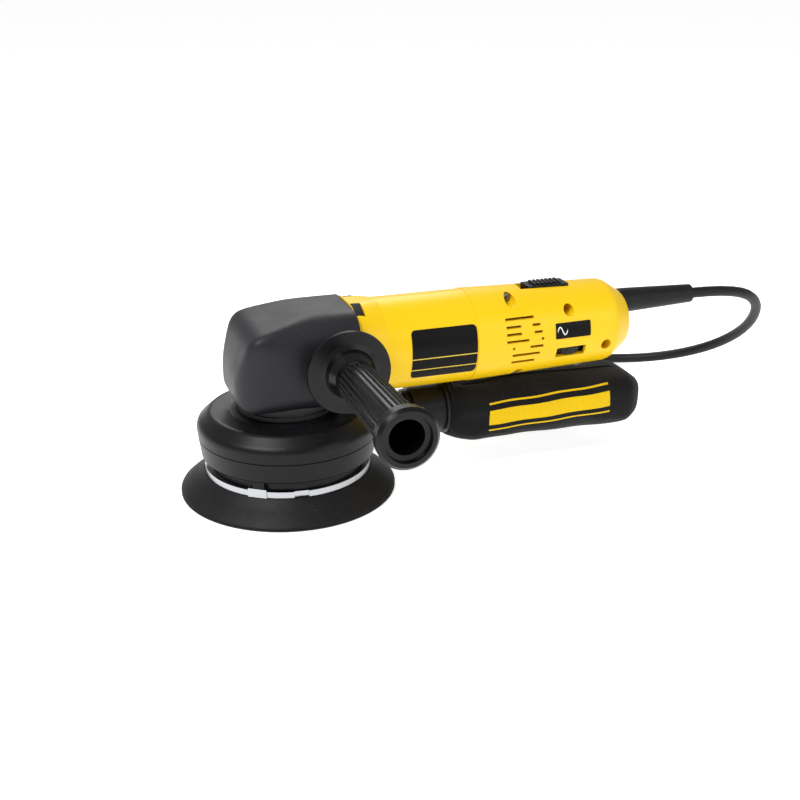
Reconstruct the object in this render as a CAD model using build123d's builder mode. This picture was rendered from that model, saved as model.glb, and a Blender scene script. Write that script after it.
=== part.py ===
"""Dual action polisher: a right-angle orbital tool with a side handle, a dust bag and a mains cord.

Frame: the origin is where the output spindle's axis meets the pad's working face. +Z is up along
that axis, +X runs back along the motor to the cord, and -Y is the side that carries the handle.
"""
import os
from math import atan2, cos, degrees, hypot, pi, radians, sin, tan

from build123d import *

os.makedirs("parts", exist_ok=True)

# ---- driving dimensions, in millimetres ----
pad_radius = 75.0
pad_top_radius = 58.0
hook_thickness = 1.4
foam_height = 14.8
orbit = 2.4
motor_z = 98.0
motor_radius = 32.6
case_wall = 3.2
rear_radius = 30.1
rear_wall = 2.8
motor_end_x = 255.5
seam_x = 128.5
running_gap = 0.05
air_gap = 0.7

plate_thickness = 4.2
plate_radius = 57.5
shroud_radius = 62.4
shroud_wall = 2.6
shroud_bottom_z = 28.5
shroud_seam_z = 42.5
shroud_top_z = 60.5

head_half_width = 38.0
head_top_z = 130.5
head_bottom_z = 67.0
head_front_x = -40.0
head_rear_x = 43.0
boot_wall = 2.5
skin_gap = 0.2

gear_pitch_radius = 24.0
gear_teeth = 41
pinion_teeth = 11
gear_face = 6.0

spindle_radius = 7.5
gear_seat_radius = 7.0
spindle_top_radius = 5.0
pinion_seat_radius = 3.0
front_journal_radius = 6.0
shaft_radius = 7.0
rear_journal_radius = 4.0

handle_x = 29.8
handle_z = 98.6
handle_flange_y = -50.4
handle_end_y = -168.0
handle_flange_radius = 28.4
handle_end_radius = 19.3
stud_radius = 4.0

port_radius = 14.5
port_wall = 2.0
port_z = 45.0
port_end_x = 112.0
bag_half_width = 27.0
bag_bottom_z = 17.5
bag_top_z = 63.8
bag_end_x = 268.0

cord_radius = 4.0
cord_z = 110.5
guard_end_x = 312.0
coil_turns_out = 2
coil_layers = 4

# ---- sizes that follow from them ----
foam_top_z = hook_thickness + foam_height
plate_top_z = foam_top_z + plate_thickness
MOTOR_AXIS = Axis((0, 0, motor_z), (1, 0, 0))
SPINDLE_AXIS = Axis.Z
case_inner_radius = motor_radius - case_wall
far = 1000.0


def disc_x(x0, x1, radius, y=0.0, z=motor_z, mode=Mode.ADD):
    """A round bar or hole along X, from x0 to x1."""
    with Locations(((x0 + x1) / 2, y, z)):
        Cylinder(radius, x1 - x0, rotation=(0, 90, 0), mode=mode)


def disc_y(y0, y1, radius, x=0.0, z=motor_z, mode=Mode.ADD):
    """A round bar or hole along Y, from y0 to y1."""
    with Locations((x, (y0 + y1) / 2, z)):
        Cylinder(radius, abs(y1 - y0), rotation=(90, 0, 0), mode=mode)


def disc_z(z0, z1, radius, x=0.0, y=0.0, mode=Mode.ADD):
    """A round bar or hole along Z, from z0 to z1."""
    with Locations((x, y, (z0 + z1) / 2)):
        Cylinder(radius, z1 - z0, mode=mode)


def block(x0, x1, y0, y1, z0, z1, mode=Mode.ADD):
    """A box between two opposite corners."""
    with Locations(((x0 + x1) / 2, (y0 + y1) / 2, (z0 + z1) / 2)):
        Box(x1 - x0, y1 - y0, z1 - z0, mode=mode)


def save(part, name):
    """Label a finished piece and write it out."""
    part.label = name
    export_step(part, f"parts/{name}.step")


# ==== pad, which spins freely on the eccentric ====
pad_centre = (0.0, orbit)
dust_hole_radius = 5.0
dust_hole_circle = 40.0
dust_holes = 6
screw_circle = 12.0
pad_screw_radius = 2.5
pad_screw_head_radius = 4.2
pad_screw_head = 2.6
access_radius = 4.8
arbor_flange_radius = 18.0
arbor_flange = 3.2
arbor_radius = 6.0
arbor_bottom_z = plate_top_z
arbor_top_z = 44.0


def on_pad(radius, count, start=0.0):
    """Places on a circle about the pad's own axis."""
    places = []
    for step in range(count):
        angle = radians(start + 360.0 * step / count)
        places.append((pad_centre[0] + radius * cos(angle), pad_centre[1] + radius * sin(angle)))
    return places


def pad_openings(z0, z1, screw_hole):
    """The dust holes and the screw holes through one layer of the pad."""
    for x, y in on_pad(dust_hole_circle, dust_holes, 30.0):
        disc_z(z0, z1, dust_hole_radius, x, y, mode=Mode.SUBTRACT)
    for x, y in on_pad(screw_circle, 3):
        disc_z(z0, z1, screw_hole, x, y, mode=Mode.SUBTRACT)


with BuildPart() as hook_face:
    disc_z(0, hook_thickness, pad_radius, *pad_centre)
    pad_openings(0, hook_thickness, access_radius)
save(hook_face.part, "hook_face")

with BuildPart() as pad_foam:
    with BuildSketch(Plane.XZ.offset(-orbit)):
        with BuildLine():
            Polyline(
                (0, hook_thickness),
                (pad_radius, hook_thickness),
                (pad_radius - 0.4, hook_thickness + 1.6),
                (pad_top_radius + 5.0, foam_top_z - 5.6),
                (pad_top_radius, foam_top_z),
                (0, foam_top_z),
                close=True,
            )
        make_face()
    revolve(axis=Axis((0, orbit, 0), (0, 0, 1)))
    pad_openings(hook_thickness, foam_top_z, access_radius)
save(pad_foam.part, "pad_foam")

lug_angle = -124.5
lug_width = 13.0
lug_rise = 1.8
lug_proud = 0.8
lug_depth = 2.0
notch_angle = -95.0
notch_width = 10.0
notch_depth = 1.3


def rim_block(angle, radial, width, z0, z1, mode=Mode.ADD):
    """A block on the pad plate's rim, reaching over a radial range, at one angle about the pad's axis."""
    with Locations(Location((*pad_centre, (z0 + z1) / 2), (0, 0, angle))):
        with Locations((sum(radial) / 2, 0, 0)):
            Box(radial[1] - radial[0], width, z1 - z0, mode=mode)


with BuildPart() as pad_plate:
    disc_z(foam_top_z, plate_top_z, plate_radius, *pad_centre)
    rim_block(lug_angle, (plate_radius - lug_depth, plate_radius + lug_proud), lug_width,
              foam_top_z, plate_top_z + lug_rise)
    rim_block(notch_angle, (plate_radius - notch_depth, plate_radius + 2 * lug_depth), notch_width,
              foam_top_z - 1, plate_top_z + 1, mode=Mode.SUBTRACT)
    pad_openings(foam_top_z, plate_top_z, pad_screw_radius)
save(pad_plate.part, "pad_plate")

with BuildPart() as pad_arbor:
    disc_z(arbor_bottom_z, arbor_bottom_z + arbor_flange, arbor_flange_radius, *pad_centre)
    disc_z(arbor_bottom_z, arbor_top_z, arbor_radius, *pad_centre)
    for x, y in on_pad(screw_circle, 3):
        disc_z(arbor_bottom_z, arbor_bottom_z + arbor_flange, pad_screw_radius, x, y, mode=Mode.SUBTRACT)
save(pad_arbor.part, "pad_arbor")

with BuildPart() as pad_screws:
    for x, y in on_pad(screw_circle, 3):
        disc_z(foam_top_z, arbor_bottom_z + arbor_flange, pad_screw_radius, x, y)
        disc_z(foam_top_z - pad_screw_head, foam_top_z, pad_screw_head_radius, x, y)
        disc_z(foam_top_z - pad_screw_head, foam_top_z - 1.0, 1.6, x, y, mode=Mode.SUBTRACT)
save(pad_screws.part, "pad_screws")

# ==== output spindle with its eccentric socket ====
hub_radius = 22.0
hub_bottom_z = 26.0
hub_top_z = 55.0
pad_bearing_radius = 14.0
pad_bearing_split = 9.6
pad_bearing_z = (27.0, 42.0)
socket_top_z = 46.0
lower_bearing_radius = 17.5
lower_bearing_split = 12.4
lower_bearing_z = (64.5, 75.5)
gear_bottom_z = 81.5
bush_z = (105.0, 116.0)

with BuildPart() as spindle:
    with BuildSketch(Plane.XZ):
        with BuildLine():
            Polyline(
                (0, hub_bottom_z),
                (hub_radius, hub_bottom_z),
                (hub_radius, hub_top_z - 1.0),
                (hub_radius - 1.0, hub_top_z),
                (spindle_radius + 2.5, hub_top_z + 2.5),
                (spindle_radius + 2.5, lower_bearing_z[0]),
                (spindle_radius, lower_bearing_z[0]),
                (spindle_radius, gear_bottom_z),
                (gear_seat_radius, gear_bottom_z),
                (gear_seat_radius, 93.0),
                (spindle_top_radius, 95.0),
                (spindle_top_radius, bush_z[1] - 0.6),
                (0, bush_z[1] - 0.6),
                close=True,
            )
        make_face()
    revolve(axis=SPINDLE_AXIS)
    disc_z(hub_bottom_z, pad_bearing_z[1], pad_bearing_radius, *pad_centre, mode=Mode.SUBTRACT)
    disc_z(pad_bearing_z[1], socket_top_z, pad_bearing_split, *pad_centre, mode=Mode.SUBTRACT)
save(spindle.part, "spindle")


def bearing_z(z0, z1, bore, split, outside, x=0.0, y=0.0):
    """The outer and inner rings of a sealed ball bearing that stands along Z."""
    with BuildPart() as outer:
        disc_z(z0, z1, outside, x, y)
        disc_z(z0, z1, split + running_gap, x, y, mode=Mode.SUBTRACT)
    with BuildPart() as inner:
        disc_z(z0, z1, split, x, y)
        disc_z(z0, z1, bore, x, y, mode=Mode.SUBTRACT)
    return outer.part, inner.part


def bearing_x(x0, x1, bore, split, outside):
    """The outer and inner rings of a sealed ball bearing on the motor's axis."""
    with BuildPart() as outer:
        disc_x(x0, x1, outside)
        disc_x(x0, x1, split + running_gap, mode=Mode.SUBTRACT)
    with BuildPart() as inner:
        disc_x(x0, x1, split)
        disc_x(x0, x1, bore, mode=Mode.SUBTRACT)
    return outer.part, inner.part


outer_ring, inner_ring = bearing_z(*pad_bearing_z, arbor_radius, pad_bearing_split, pad_bearing_radius,
                                   *pad_centre)
save(outer_ring, "pad_bearing_outer")
save(inner_ring, "pad_bearing_inner")
outer_ring, inner_ring = bearing_z(*lower_bearing_z, spindle_radius, lower_bearing_split,
                                   lower_bearing_radius)
save(outer_ring, "spindle_bearing_outer")
save(inner_ring, "spindle_bearing_inner")

fan_radius = 50.0
fan_z = (43.0, 53.5)
fan_plate = 2.0
fan_vanes = 14
with BuildPart() as dust_fan:
    disc_z(fan_z[1] - fan_plate, fan_z[1], fan_radius)
    disc_z(fan_z[0], fan_z[1], hub_radius + 3.0)
    with PolarLocations(0, fan_vanes):
        with Locations((41.5, 0, (fan_z[0] + fan_z[1]) / 2 - 0.5)):
            Box(16, 1.8, fan_z[1] - fan_z[0] - 1.0)
    disc_z(fan_z[0], fan_z[1], hub_radius, mode=Mode.SUBTRACT)
save(dust_fan.part, "dust_fan")

weight_z = (30.0, fan_z[0] - 0.4)
with BuildPart() as counterweight:
    disc_z(*weight_z, 34.0)
    disc_z(*weight_z, hub_radius, mode=Mode.SUBTRACT)
    block(-40, 40, -8, 40, *weight_z, mode=Mode.SUBTRACT)
save(counterweight.part, "counterweight")

# ==== bevel gears, meshing on the +X side below the motor's axis ====
pinion_pitch_radius = gear_pitch_radius * pinion_teeth / gear_teeth
pinion_cone = atan2(pinion_teeth, gear_teeth)
cone_outer = hypot(gear_pitch_radius, pinion_pitch_radius)
cone_inner = cone_outer - gear_face
tooth_module = 2 * gear_pitch_radius / gear_teeth
addendum = 0.80 * tooth_module
dedendum = 1.10 * tooth_module
tooth_width = 0.39 * pi * tooth_module
flank = tan(radians(20))


def bevel_tooth(side):
    """One straight bevel tooth with its cone's apex at the origin; side is 1 on the gear, -1 on the pinion."""
    along = Vector(cos(pinion_cone), 0, -sin(pinion_cone))
    root = tooth_width / 2 + flank * dedendum
    tip = tooth_width / 2 - flank * addendum
    with BuildPart() as tooth:
        for distance in (cone_outer, cone_inner):
            scale = distance / cone_outer
            place = Plane(origin=along * distance, x_dir=(0, side, 0), z_dir=along)
            with BuildSketch(place):
                with BuildLine():
                    Polyline(
                        (-root * scale, -dedendum * scale * 1.15),
                        (root * scale, -dedendum * scale * 1.15),
                        (tip * scale, addendum * scale),
                        (-tip * scale, addendum * scale),
                        close=True,
                    )
                make_face()
        loft(ruled=True)
    return tooth.part


def cone_point(distance, height, side):
    """The (radius, z) of a point on the gear's cone, or the (x, radius) of one on the pinion's."""
    along = distance * cos(pinion_cone) + side * height * sin(pinion_cone)
    drop = distance * sin(pinion_cone) - side * height * cos(pinion_cone)
    return along, drop


gear_outer = cone_point(cone_outer, -dedendum, 1)
gear_inner = cone_point(cone_inner, -dedendum * cone_inner / cone_outer, 1)
gear_tooth = bevel_tooth(1)
with BuildPart() as bevel_gear:
    with BuildSketch(Plane.XZ):
        with BuildLine():
            Polyline(
                (gear_seat_radius, gear_bottom_z),
                (gear_outer[0] - 2.5, gear_bottom_z),
                (gear_outer[0], gear_bottom_z + 3.0),
                (gear_outer[0], motor_z - gear_outer[1]),
                (gear_inner[0], motor_z - gear_inner[1]),
                (12.0, motor_z - gear_inner[1] - 1.0),
                (11.0, 91.0),
                (gear_seat_radius, 91.0),
                close=True,
            )
        make_face()
    revolve(axis=SPINDLE_AXIS)
    for tooth_number in range(gear_teeth):
        with Locations(Location((0, 0, motor_z), (0, 0, (tooth_number + 0.5) * 360.0 / gear_teeth))):
            add(gear_tooth)
save(bevel_gear.part, "bevel_gear")

pinion_outer = cone_point(cone_outer, dedendum, 1)
pinion_inner = cone_point(cone_inner, dedendum * cone_inner / cone_outer, 1)
pinion_back_x = 30.5
pinion_tooth = bevel_tooth(-1)
with BuildPart() as bevel_pinion:
    with BuildSketch(Plane.XZ):
        with BuildLine():
            Polyline(
                (pinion_inner[0], motor_z + pinion_seat_radius),
                (pinion_inner[0], motor_z + pinion_inner[1]),
                (pinion_outer[0], motor_z + pinion_outer[1]),
                (pinion_outer[0] + 1.0, motor_z + pinion_outer[1] + 0.6),
                (pinion_back_x, motor_z + pinion_outer[1] + 0.6),
                (pinion_back_x, motor_z + pinion_seat_radius),
                close=True,
            )
        make_face()
    revolve(axis=MOTOR_AXIS)
    for tooth_number in range(pinion_teeth):
        with Locations(Location((0, 0, motor_z), (tooth_number * 360.0 / pinion_teeth, 0, 0))):
            add(pinion_tooth)
save(bevel_pinion.part, "bevel_pinion")

# ==== armature ====
front_bearing_x = (32.0, 42.0)
front_bearing_radius = 16.0
rear_bearing_x = (175.0, 182.0)
rear_bearing_radius = 11.0
core_x = (92.0, 140.0)
core_radius = 21.0
commutator_x = (150.0, 168.0)
commutator_radius = 12.5
fan_x = (60.0, 73.0)
fan_tip_radius = 27.0
pinion_front_x = pinion_inner[0]

with BuildPart() as armature_shaft:
    disc_x(pinion_front_x - 2.0, pinion_back_x, pinion_seat_radius)
    disc_x(pinion_back_x, front_bearing_x[1], front_journal_radius)
    disc_x(front_bearing_x[1], rear_bearing_x[0] - 1.0, shaft_radius)
    disc_x(rear_bearing_x[0] - 1.0, rear_bearing_x[1] + 1.0, rear_journal_radius)
save(armature_shaft.part, "armature_shaft")

core_slots = 12
with BuildPart() as armature_core:
    disc_x(*core_x, core_radius)
    disc_x(*core_x, shaft_radius, mode=Mode.SUBTRACT)
    for slot in range(core_slots):
        with Locations(Location((core_x[0], 0, motor_z), (360.0 * slot / core_slots, 0, 0))):
            with Locations(((core_x[1] - core_x[0]) / 2, 0, core_radius - 3.0)):
                Box(core_x[1] - core_x[0], 3.0, 8.0, mode=Mode.SUBTRACT)
save(armature_core.part, "armature_core")

with BuildPart() as armature_windings:
    for x0, x1 in ((core_x[0] - 8.0, core_x[0]), (core_x[1], core_x[1] + 8.0)):
        disc_x(x0, x1, core_radius - 2.5)
    fillet(armature_windings.edges().filter_by(GeomType.CIRCLE), 2.5)
    for slot in range(core_slots):
        with Locations(Location((core_x[0], 0, motor_z), (360.0 * slot / core_slots, 0, 0))):
            with Locations(((core_x[1] - core_x[0]) / 2, 0, core_radius - 4.0)):
                Box(core_x[1] - core_x[0], 2.4, 5.2)
    disc_x(core_x[0] - 8.0, core_x[1] + 8.0, shaft_radius, mode=Mode.SUBTRACT)
save(armature_windings.part, "armature_windings")

with BuildPart() as commutator:
    disc_x(*commutator_x, commutator_radius)
    disc_x(*commutator_x, shaft_radius, mode=Mode.SUBTRACT)
    for bar in range(24):
        with Locations(Location((sum(commutator_x) / 2, 0, motor_z), (15.0 * bar, 0, 0))):
            with Locations((0, 0, commutator_radius)):
                Box(commutator_x[1] - commutator_x[0], 0.5, 1.6, mode=Mode.SUBTRACT)
save(commutator.part, "commutator")

with BuildPart() as cooling_fan:
    disc_x(fan_x[0], fan_x[0] + 2.0, fan_tip_radius)
    disc_x(*fan_x, 11.0)
    for vane in range(12):
        with Locations(Location((fan_x[0], 0, motor_z), (30.0 * vane, 0, 0))):
            with Locations(((fan_x[1] - fan_x[0]) / 2, 0, 18.5)):
                Box(fan_x[1] - fan_x[0], 1.6, 16.5)
    disc_x(*fan_x, shaft_radius, mode=Mode.SUBTRACT)
save(cooling_fan.part, "cooling_fan")

outer_ring, inner_ring = bearing_x(*front_bearing_x, front_journal_radius, 10.4, front_bearing_radius)
save(outer_ring, "front_bearing_outer")
save(inner_ring, "front_bearing_inner")
outer_ring, inner_ring = bearing_x(*rear_bearing_x, rear_journal_radius, 6.8, rear_bearing_radius)
save(outer_ring, "rear_bearing_outer")
save(inner_ring, "rear_bearing_inner")


# ==== head: gear case inside a rubber boot ====
def head_block(inset):
    """The head's rounded block, drawn in by one inset on every side but its rear."""
    with BuildPart() as head:
        with BuildSketch(Plane.XZ):
            with BuildLine():
                outline = FilletPolyline(
                    (head_rear_x + inset, head_bottom_z),
                    (head_front_x + 0.6, head_bottom_z),
                    (head_front_x, head_bottom_z + 24.0),
                    (head_front_x + 10.0, head_top_z - 9.0),
                    (head_front_x + 52.0, head_top_z),
                    (head_rear_x + inset, head_top_z - 0.6),
                    radius=[11.0, 40.0, 17.0, 70.0],
                )
                Line(outline @ 1, outline @ 0)
            make_face()
            if inset:
                offset(amount=-inset)
        extrude(amount=60, both=True)
        with BuildSketch(Plane.XY.offset(head_bottom_z - 5)):
            with BuildLine():
                Polyline(
                    (head_rear_x + 5, -head_half_width + 4.2),
                    (head_rear_x - 22, -head_half_width),
                    (head_front_x, -head_half_width + 1.5),
                    (head_front_x, head_half_width - 1.5),
                    (head_rear_x - 22, head_half_width),
                    (head_rear_x + 5, head_half_width - 4.2),
                    close=True,
                )
            plan = make_face()
            fillet(plan.vertices().group_by(Axis.X)[0], 21.0)
            if inset:
                offset(amount=-inset)
        extrude(amount=80, mode=Mode.INTERSECT)
        with BuildSketch(Plane.YZ.offset(head_front_x - 5)):
            with BuildLine():
                FilletPolyline(
                    (0, head_bottom_z),
                    (head_half_width, head_bottom_z),
                    (head_half_width, head_top_z),
                    (0, head_top_z),
                    radius=[13.0, 21.0],
                )
                mirror(about=Plane.YZ)
            make_face()
            if inset:
                offset(amount=-inset)
        extrude(amount=100, mode=Mode.INTERSECT)
    return head.part


boss_radius = 11.0
boss_end_y = 50.0
boss_hole_depth = 20.0
collar_radius = 33.5
plate_boss_radius = 22.0
gear_cavity_radius = 29.0
gear_cavity_top_z = 116.5
case_flange_x = 41.0
case_screw_circle = 21.6
bearing_plate_z = (shroud_top_z, 64.0)
plate_screw_circle = 27.5
plate_screw_radius = 2.2
screw_angles = (45, 135, 225, 315)

boot_outside = head_block(0.0)
boot_inside = head_block(boot_wall)
case_outside = head_block(boot_wall + skin_gap)


def plate_screw_places():
    """The four screws that hold the bearing plate and the shroud to the gear case."""
    return [(plate_screw_circle * cos(radians(a)), plate_screw_circle * sin(radians(a)))
            for a in screw_angles]


def case_screw_places():
    """The four corners of the motor case's front flange, as (y, z)."""
    return [(sy * case_screw_circle, motor_z + sz * case_screw_circle)
            for sy in (-1, 1) for sz in (-1, 1)]


with BuildPart() as rubber_boot:
    add(boot_outside)
    add(boot_inside, mode=Mode.SUBTRACT)
    disc_z(head_bottom_z - 5, head_bottom_z + 12, collar_radius - 1.3, mode=Mode.SUBTRACT)
    disc_y(-60, 60, boss_radius + skin_gap, handle_x, handle_z, mode=Mode.SUBTRACT)
save(rubber_boot.part, "rubber_boot")

with BuildPart() as gear_case:
    add(case_outside)
    block(case_flange_x, far, -far, far, 0, far, mode=Mode.SUBTRACT)
    disc_z(bearing_plate_z[1], head_bottom_z + 12, collar_radius - 1.6)
    for side in (-1, 1):
        disc_y(side * 30.0, side * boss_end_y, boss_radius, handle_x, handle_z)
        disc_y(side * (boss_end_y - boss_hole_depth), side * (boss_end_y + 5), stud_radius,
               handle_x, handle_z, mode=Mode.SUBTRACT)
    disc_z(bearing_plate_z[1] - 1, gear_cavity_top_z, gear_cavity_radius, mode=Mode.SUBTRACT)
    disc_z(bush_z[0], gear_cavity_top_z + 1, 12.5)
    disc_z(bush_z[0] - 1, gear_cavity_top_z, spindle_top_radius + 2.5, mode=Mode.SUBTRACT)
    disc_x(0, case_flange_x, 9.5, mode=Mode.SUBTRACT)
    disc_x(front_bearing_x[0], case_flange_x, front_bearing_radius, mode=Mode.SUBTRACT)
    for x, y in plate_screw_places():
        disc_z(bearing_plate_z[1] - 1, bearing_plate_z[1] + 9, 4.4, x, y)
        disc_z(bearing_plate_z[1] - 1, bearing_plate_z[1], 6.0, x, y, mode=Mode.SUBTRACT)
        disc_z(bearing_plate_z[1] - 1, bearing_plate_z[1] + 7, plate_screw_radius, x, y,
               mode=Mode.SUBTRACT)
    for y, z in case_screw_places():
        disc_x(case_flange_x - 12, case_flange_x, 2.0, y, z, mode=Mode.SUBTRACT)
save(gear_case.part, "gear_case")

with BuildPart() as spindle_bush:
    disc_z(*bush_z, spindle_top_radius + 2.5)
    disc_z(*bush_z, spindle_top_radius + running_gap, mode=Mode.SUBTRACT)
save(spindle_bush.part, "spindle_bush")

with BuildPart() as bearing_plate:
    disc_z(*bearing_plate_z, collar_radius)
    disc_z(bearing_plate_z[1], lower_bearing_z[1] + 1.5, plate_boss_radius)
    disc_z(bearing_plate_z[0], lower_bearing_z[1] + 1.5, 12.0, mode=Mode.SUBTRACT)
    disc_z(lower_bearing_z[0], lower_bearing_z[1] + 1.5, lower_bearing_radius, mode=Mode.SUBTRACT)
    for x, y in plate_screw_places():
        disc_z(*bearing_plate_z, plate_screw_radius, x, y, mode=Mode.SUBTRACT)
    fillet(bearing_plate.edges().filter_by(GeomType.CIRCLE).sort_by(SortBy.RADIUS)[-1], 1.0)
save(bearing_plate.part, "bearing_plate")

shroud_inner_top_z = shroud_top_z - shroud_wall
with BuildPart() as bearing_plate_screws:
    for x, y in plate_screw_places():
        disc_z(shroud_inner_top_z - 2.6, shroud_inner_top_z, 4.0, x, y)
        disc_z(shroud_inner_top_z, bearing_plate_z[1] + 6.5, plate_screw_radius, x, y)
save(bearing_plate_screws.part, "bearing_plate_screws")

# ==== shroud, which carries the dust away ====
port_hole_gap = 0.15


def port_cut(radius):
    """Take the round way of the exhaust port out of a shroud half."""
    disc_x(30.0, 90.0, radius, 0, port_z, mode=Mode.SUBTRACT)


with BuildPart() as shroud_upper:
    with BuildSketch(Plane.XZ):
        with BuildLine():
            outside = FilletPolyline(
                (24.0, shroud_top_z),
                (collar_radius + 2, shroud_top_z),
                (collar_radius + 5, shroud_top_z - 1.2),
                (shroud_radius - 9.5, shroud_top_z - 0.2),
                (shroud_radius, shroud_top_z - 8.5),
                (shroud_radius - 0.8, shroud_seam_z + 0.35),
                radius=[1.2, 3.0, 6.0, 7.0],
            )
            Polyline(
                outside @ 1,
                (shroud_radius - 0.8 - shroud_wall, shroud_seam_z + 0.35),
                (shroud_radius - shroud_wall, shroud_top_z - 9.5),
                (shroud_radius - 9.5 - shroud_wall / 2, shroud_inner_top_z - 1.0),
                (collar_radius + 2, shroud_inner_top_z),
                (24.0, shroud_inner_top_z),
                outside @ 0,
            )
        make_face()
    revolve(axis=SPINDLE_AXIS)
    for x, y in plate_screw_places():
        disc_z(shroud_inner_top_z, shroud_top_z, plate_screw_radius, x, y, mode=Mode.SUBTRACT)
    port_cut(port_radius + port_hole_gap)
save(shroud_upper.part, "shroud_upper")

lower_top_radius = shroud_radius - 0.9
lower_bottom_radius = shroud_radius - 2.6
lip_radius = lower_top_radius - shroud_wall
lower_lip_radius = 49.5
stop_width = 8.0
stop_depth = 4.0
stop_gap = 1.0
with BuildPart() as shroud_lower:
    with BuildSketch(Plane.XZ):
        with BuildLine():
            Polyline(
                (lower_bottom_radius - 1.0, shroud_bottom_z),
                (lower_bottom_radius, shroud_bottom_z + 1.0),
                (lower_top_radius, shroud_seam_z - 0.35),
                (lip_radius - 0.1, shroud_seam_z - 0.35),
                (lip_radius - 0.3, shroud_seam_z + 3.5),
                (lip_radius - 1.6, shroud_seam_z + 3.5),
                (lower_bottom_radius - shroud_wall, shroud_bottom_z + 2.4),
                (lower_lip_radius, shroud_bottom_z + 2.4),
                (lower_lip_radius, shroud_bottom_z),
                close=True,
            )
        make_face()
    revolve(axis=SPINDLE_AXIS)
    stop_bottom_z = plate_top_z + lug_rise + stop_gap
    with Locations(Location((0, 0, (stop_bottom_z + shroud_bottom_z) / 2 + 1), (0, 0, lug_angle))):
        with Locations((lower_bottom_radius - shroud_wall - stop_depth / 2, 0, 0)):
            Box(stop_depth, stop_width, shroud_bottom_z - stop_bottom_z + 2)
    port_cut(port_radius + port_hole_gap)
save(shroud_lower.part, "shroud_lower")

brake_gap = 0.5
brake_wall = 3.0
with BuildPart() as brake_ring:
    with BuildSketch(Plane.XZ):
        with BuildLine():
            Polyline(
                (lower_lip_radius + 0.4, shroud_bottom_z),
                (lower_lip_radius + 0.4 + brake_wall, shroud_bottom_z),
                (lower_lip_radius + brake_wall, plate_top_z + brake_gap),
                (lower_lip_radius + 1.0, plate_top_z + brake_gap),
                close=True,
            )
        make_face()
    revolve(axis=SPINDLE_AXIS)
save(brake_ring.part, "brake_ring")

with BuildPart() as exhaust_port:
    disc_x(30.0, port_end_x, port_radius, 0, port_z)
    disc_z(0, far / 4, shroud_radius - shroud_wall - 2.2, mode=Mode.SUBTRACT)
    disc_x(64.0, 67.0, port_radius + 2.2, 0, port_z)
    disc_x(30.0, port_end_x, port_radius - port_wall, 0, port_z, mode=Mode.SUBTRACT)
    disc_x(84.0, 86.0, port_radius + 1.2, 0, port_z)
    disc_x(84.0, 86.0, port_radius - port_wall, 0, port_z, mode=Mode.SUBTRACT)
save(exhaust_port.part, "exhaust_port")

# ==== motor case ====
flange_half = 33.3
flange_corner = 24.0
spigot_half_width = 31.0
spigot_half_height = 28.0
spigot_corner = 19.0
flange_end_x = 46.0
flare_end_x = 64.0
case_screw_radius = 2.0
case_screw_head = 4.2
pocket_x = (43.4, 50.5)
pocket_lean = 18.0
front_bore_radius = 23.5
front_bore_end_x = 54.0
baffle_x = (76.0, 79.0)
stator_x = (88.0, 142.0)
stator_inner_radius = core_radius + air_gap


with BuildPart() as motor_case:
    with BuildSketch(Plane.YZ.offset(case_flange_x)):
        with Locations((0, motor_z)):
            RectangleRounded(2 * spigot_half_width, 2 * spigot_half_height, spigot_corner)
    extrude(amount=head_rear_x - case_flange_x)
    with BuildSketch(Plane.YZ.offset(head_rear_x)):
        with Locations((0, motor_z)):
            RectangleRounded(2 * flange_half, 2 * flange_half, flange_corner)
    extrude(amount=flange_end_x - head_rear_x)
    with BuildSketch(Plane.YZ.offset(flange_end_x)):
        with Locations((0, motor_z)):
            RectangleRounded(2 * flange_half, 2 * flange_half, flange_corner)
    with BuildSketch(Plane.YZ.offset(flare_end_x)):
        with Locations((0, motor_z)):
            RectangleRounded(2 * motor_radius, 2 * motor_radius, motor_radius - 0.05)
    loft()
    disc_x(flare_end_x, seam_x, motor_radius)
    disc_x(case_flange_x, front_bore_end_x, front_bore_radius, mode=Mode.SUBTRACT)
    disc_x(front_bore_end_x, seam_x, case_inner_radius, mode=Mode.SUBTRACT)
    for y, z in case_screw_places():
        disc_x(case_flange_x, pocket_x[0], case_screw_radius, y, z, mode=Mode.SUBTRACT)
        disc_x(*pocket_x, case_screw_head + 0.8, y, z, mode=Mode.SUBTRACT)
        lean = -pocket_lean if y * (z - motor_z) < 0 else pocket_lean
        turn = degrees(atan2(z - motor_z, y)) + lean
        with Locations(Location((sum(pocket_x) / 2, 0, motor_z), (turn, 0, 0))):
            with Locations((0, 36.0, 0)):
                Box(pocket_x[1] - pocket_x[0], 10.0, 15.0, mode=Mode.SUBTRACT)
save(motor_case.part, "motor_case")

with BuildPart() as motor_case_screws:
    for y, z in case_screw_places():
        disc_x(case_flange_x - 11, pocket_x[0], case_screw_radius, y, z)
        disc_x(pocket_x[0], pocket_x[0] + 3.4, case_screw_head, y, z)
        disc_x(pocket_x[0] + 1.6, pocket_x[0] + 3.4, 1.6, y, z, mode=Mode.SUBTRACT)
save(motor_case_screws.part, "motor_case_screws")

with BuildPart() as fan_baffle:
    disc_x(*baffle_x, case_inner_radius)
    disc_x(*baffle_x, 17.0, mode=Mode.SUBTRACT)
save(fan_baffle.part, "fan_baffle")

with BuildPart() as stator_core:
    disc_x(*stator_x, case_inner_radius)
    disc_x(*stator_x, case_inner_radius - 4.5, mode=Mode.SUBTRACT)
    for side in (-1, 1):
        with Locations((sum(stator_x) / 2, 0, motor_z + side * (stator_inner_radius + 3.0))):
            Box(stator_x[1] - stator_x[0], 30.0, 9.0)
    disc_x(*stator_x, case_inner_radius, mode=Mode.INTERSECT)
    disc_x(*stator_x, stator_inner_radius, mode=Mode.SUBTRACT)
save(stator_core.part, "stator_core")

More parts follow.
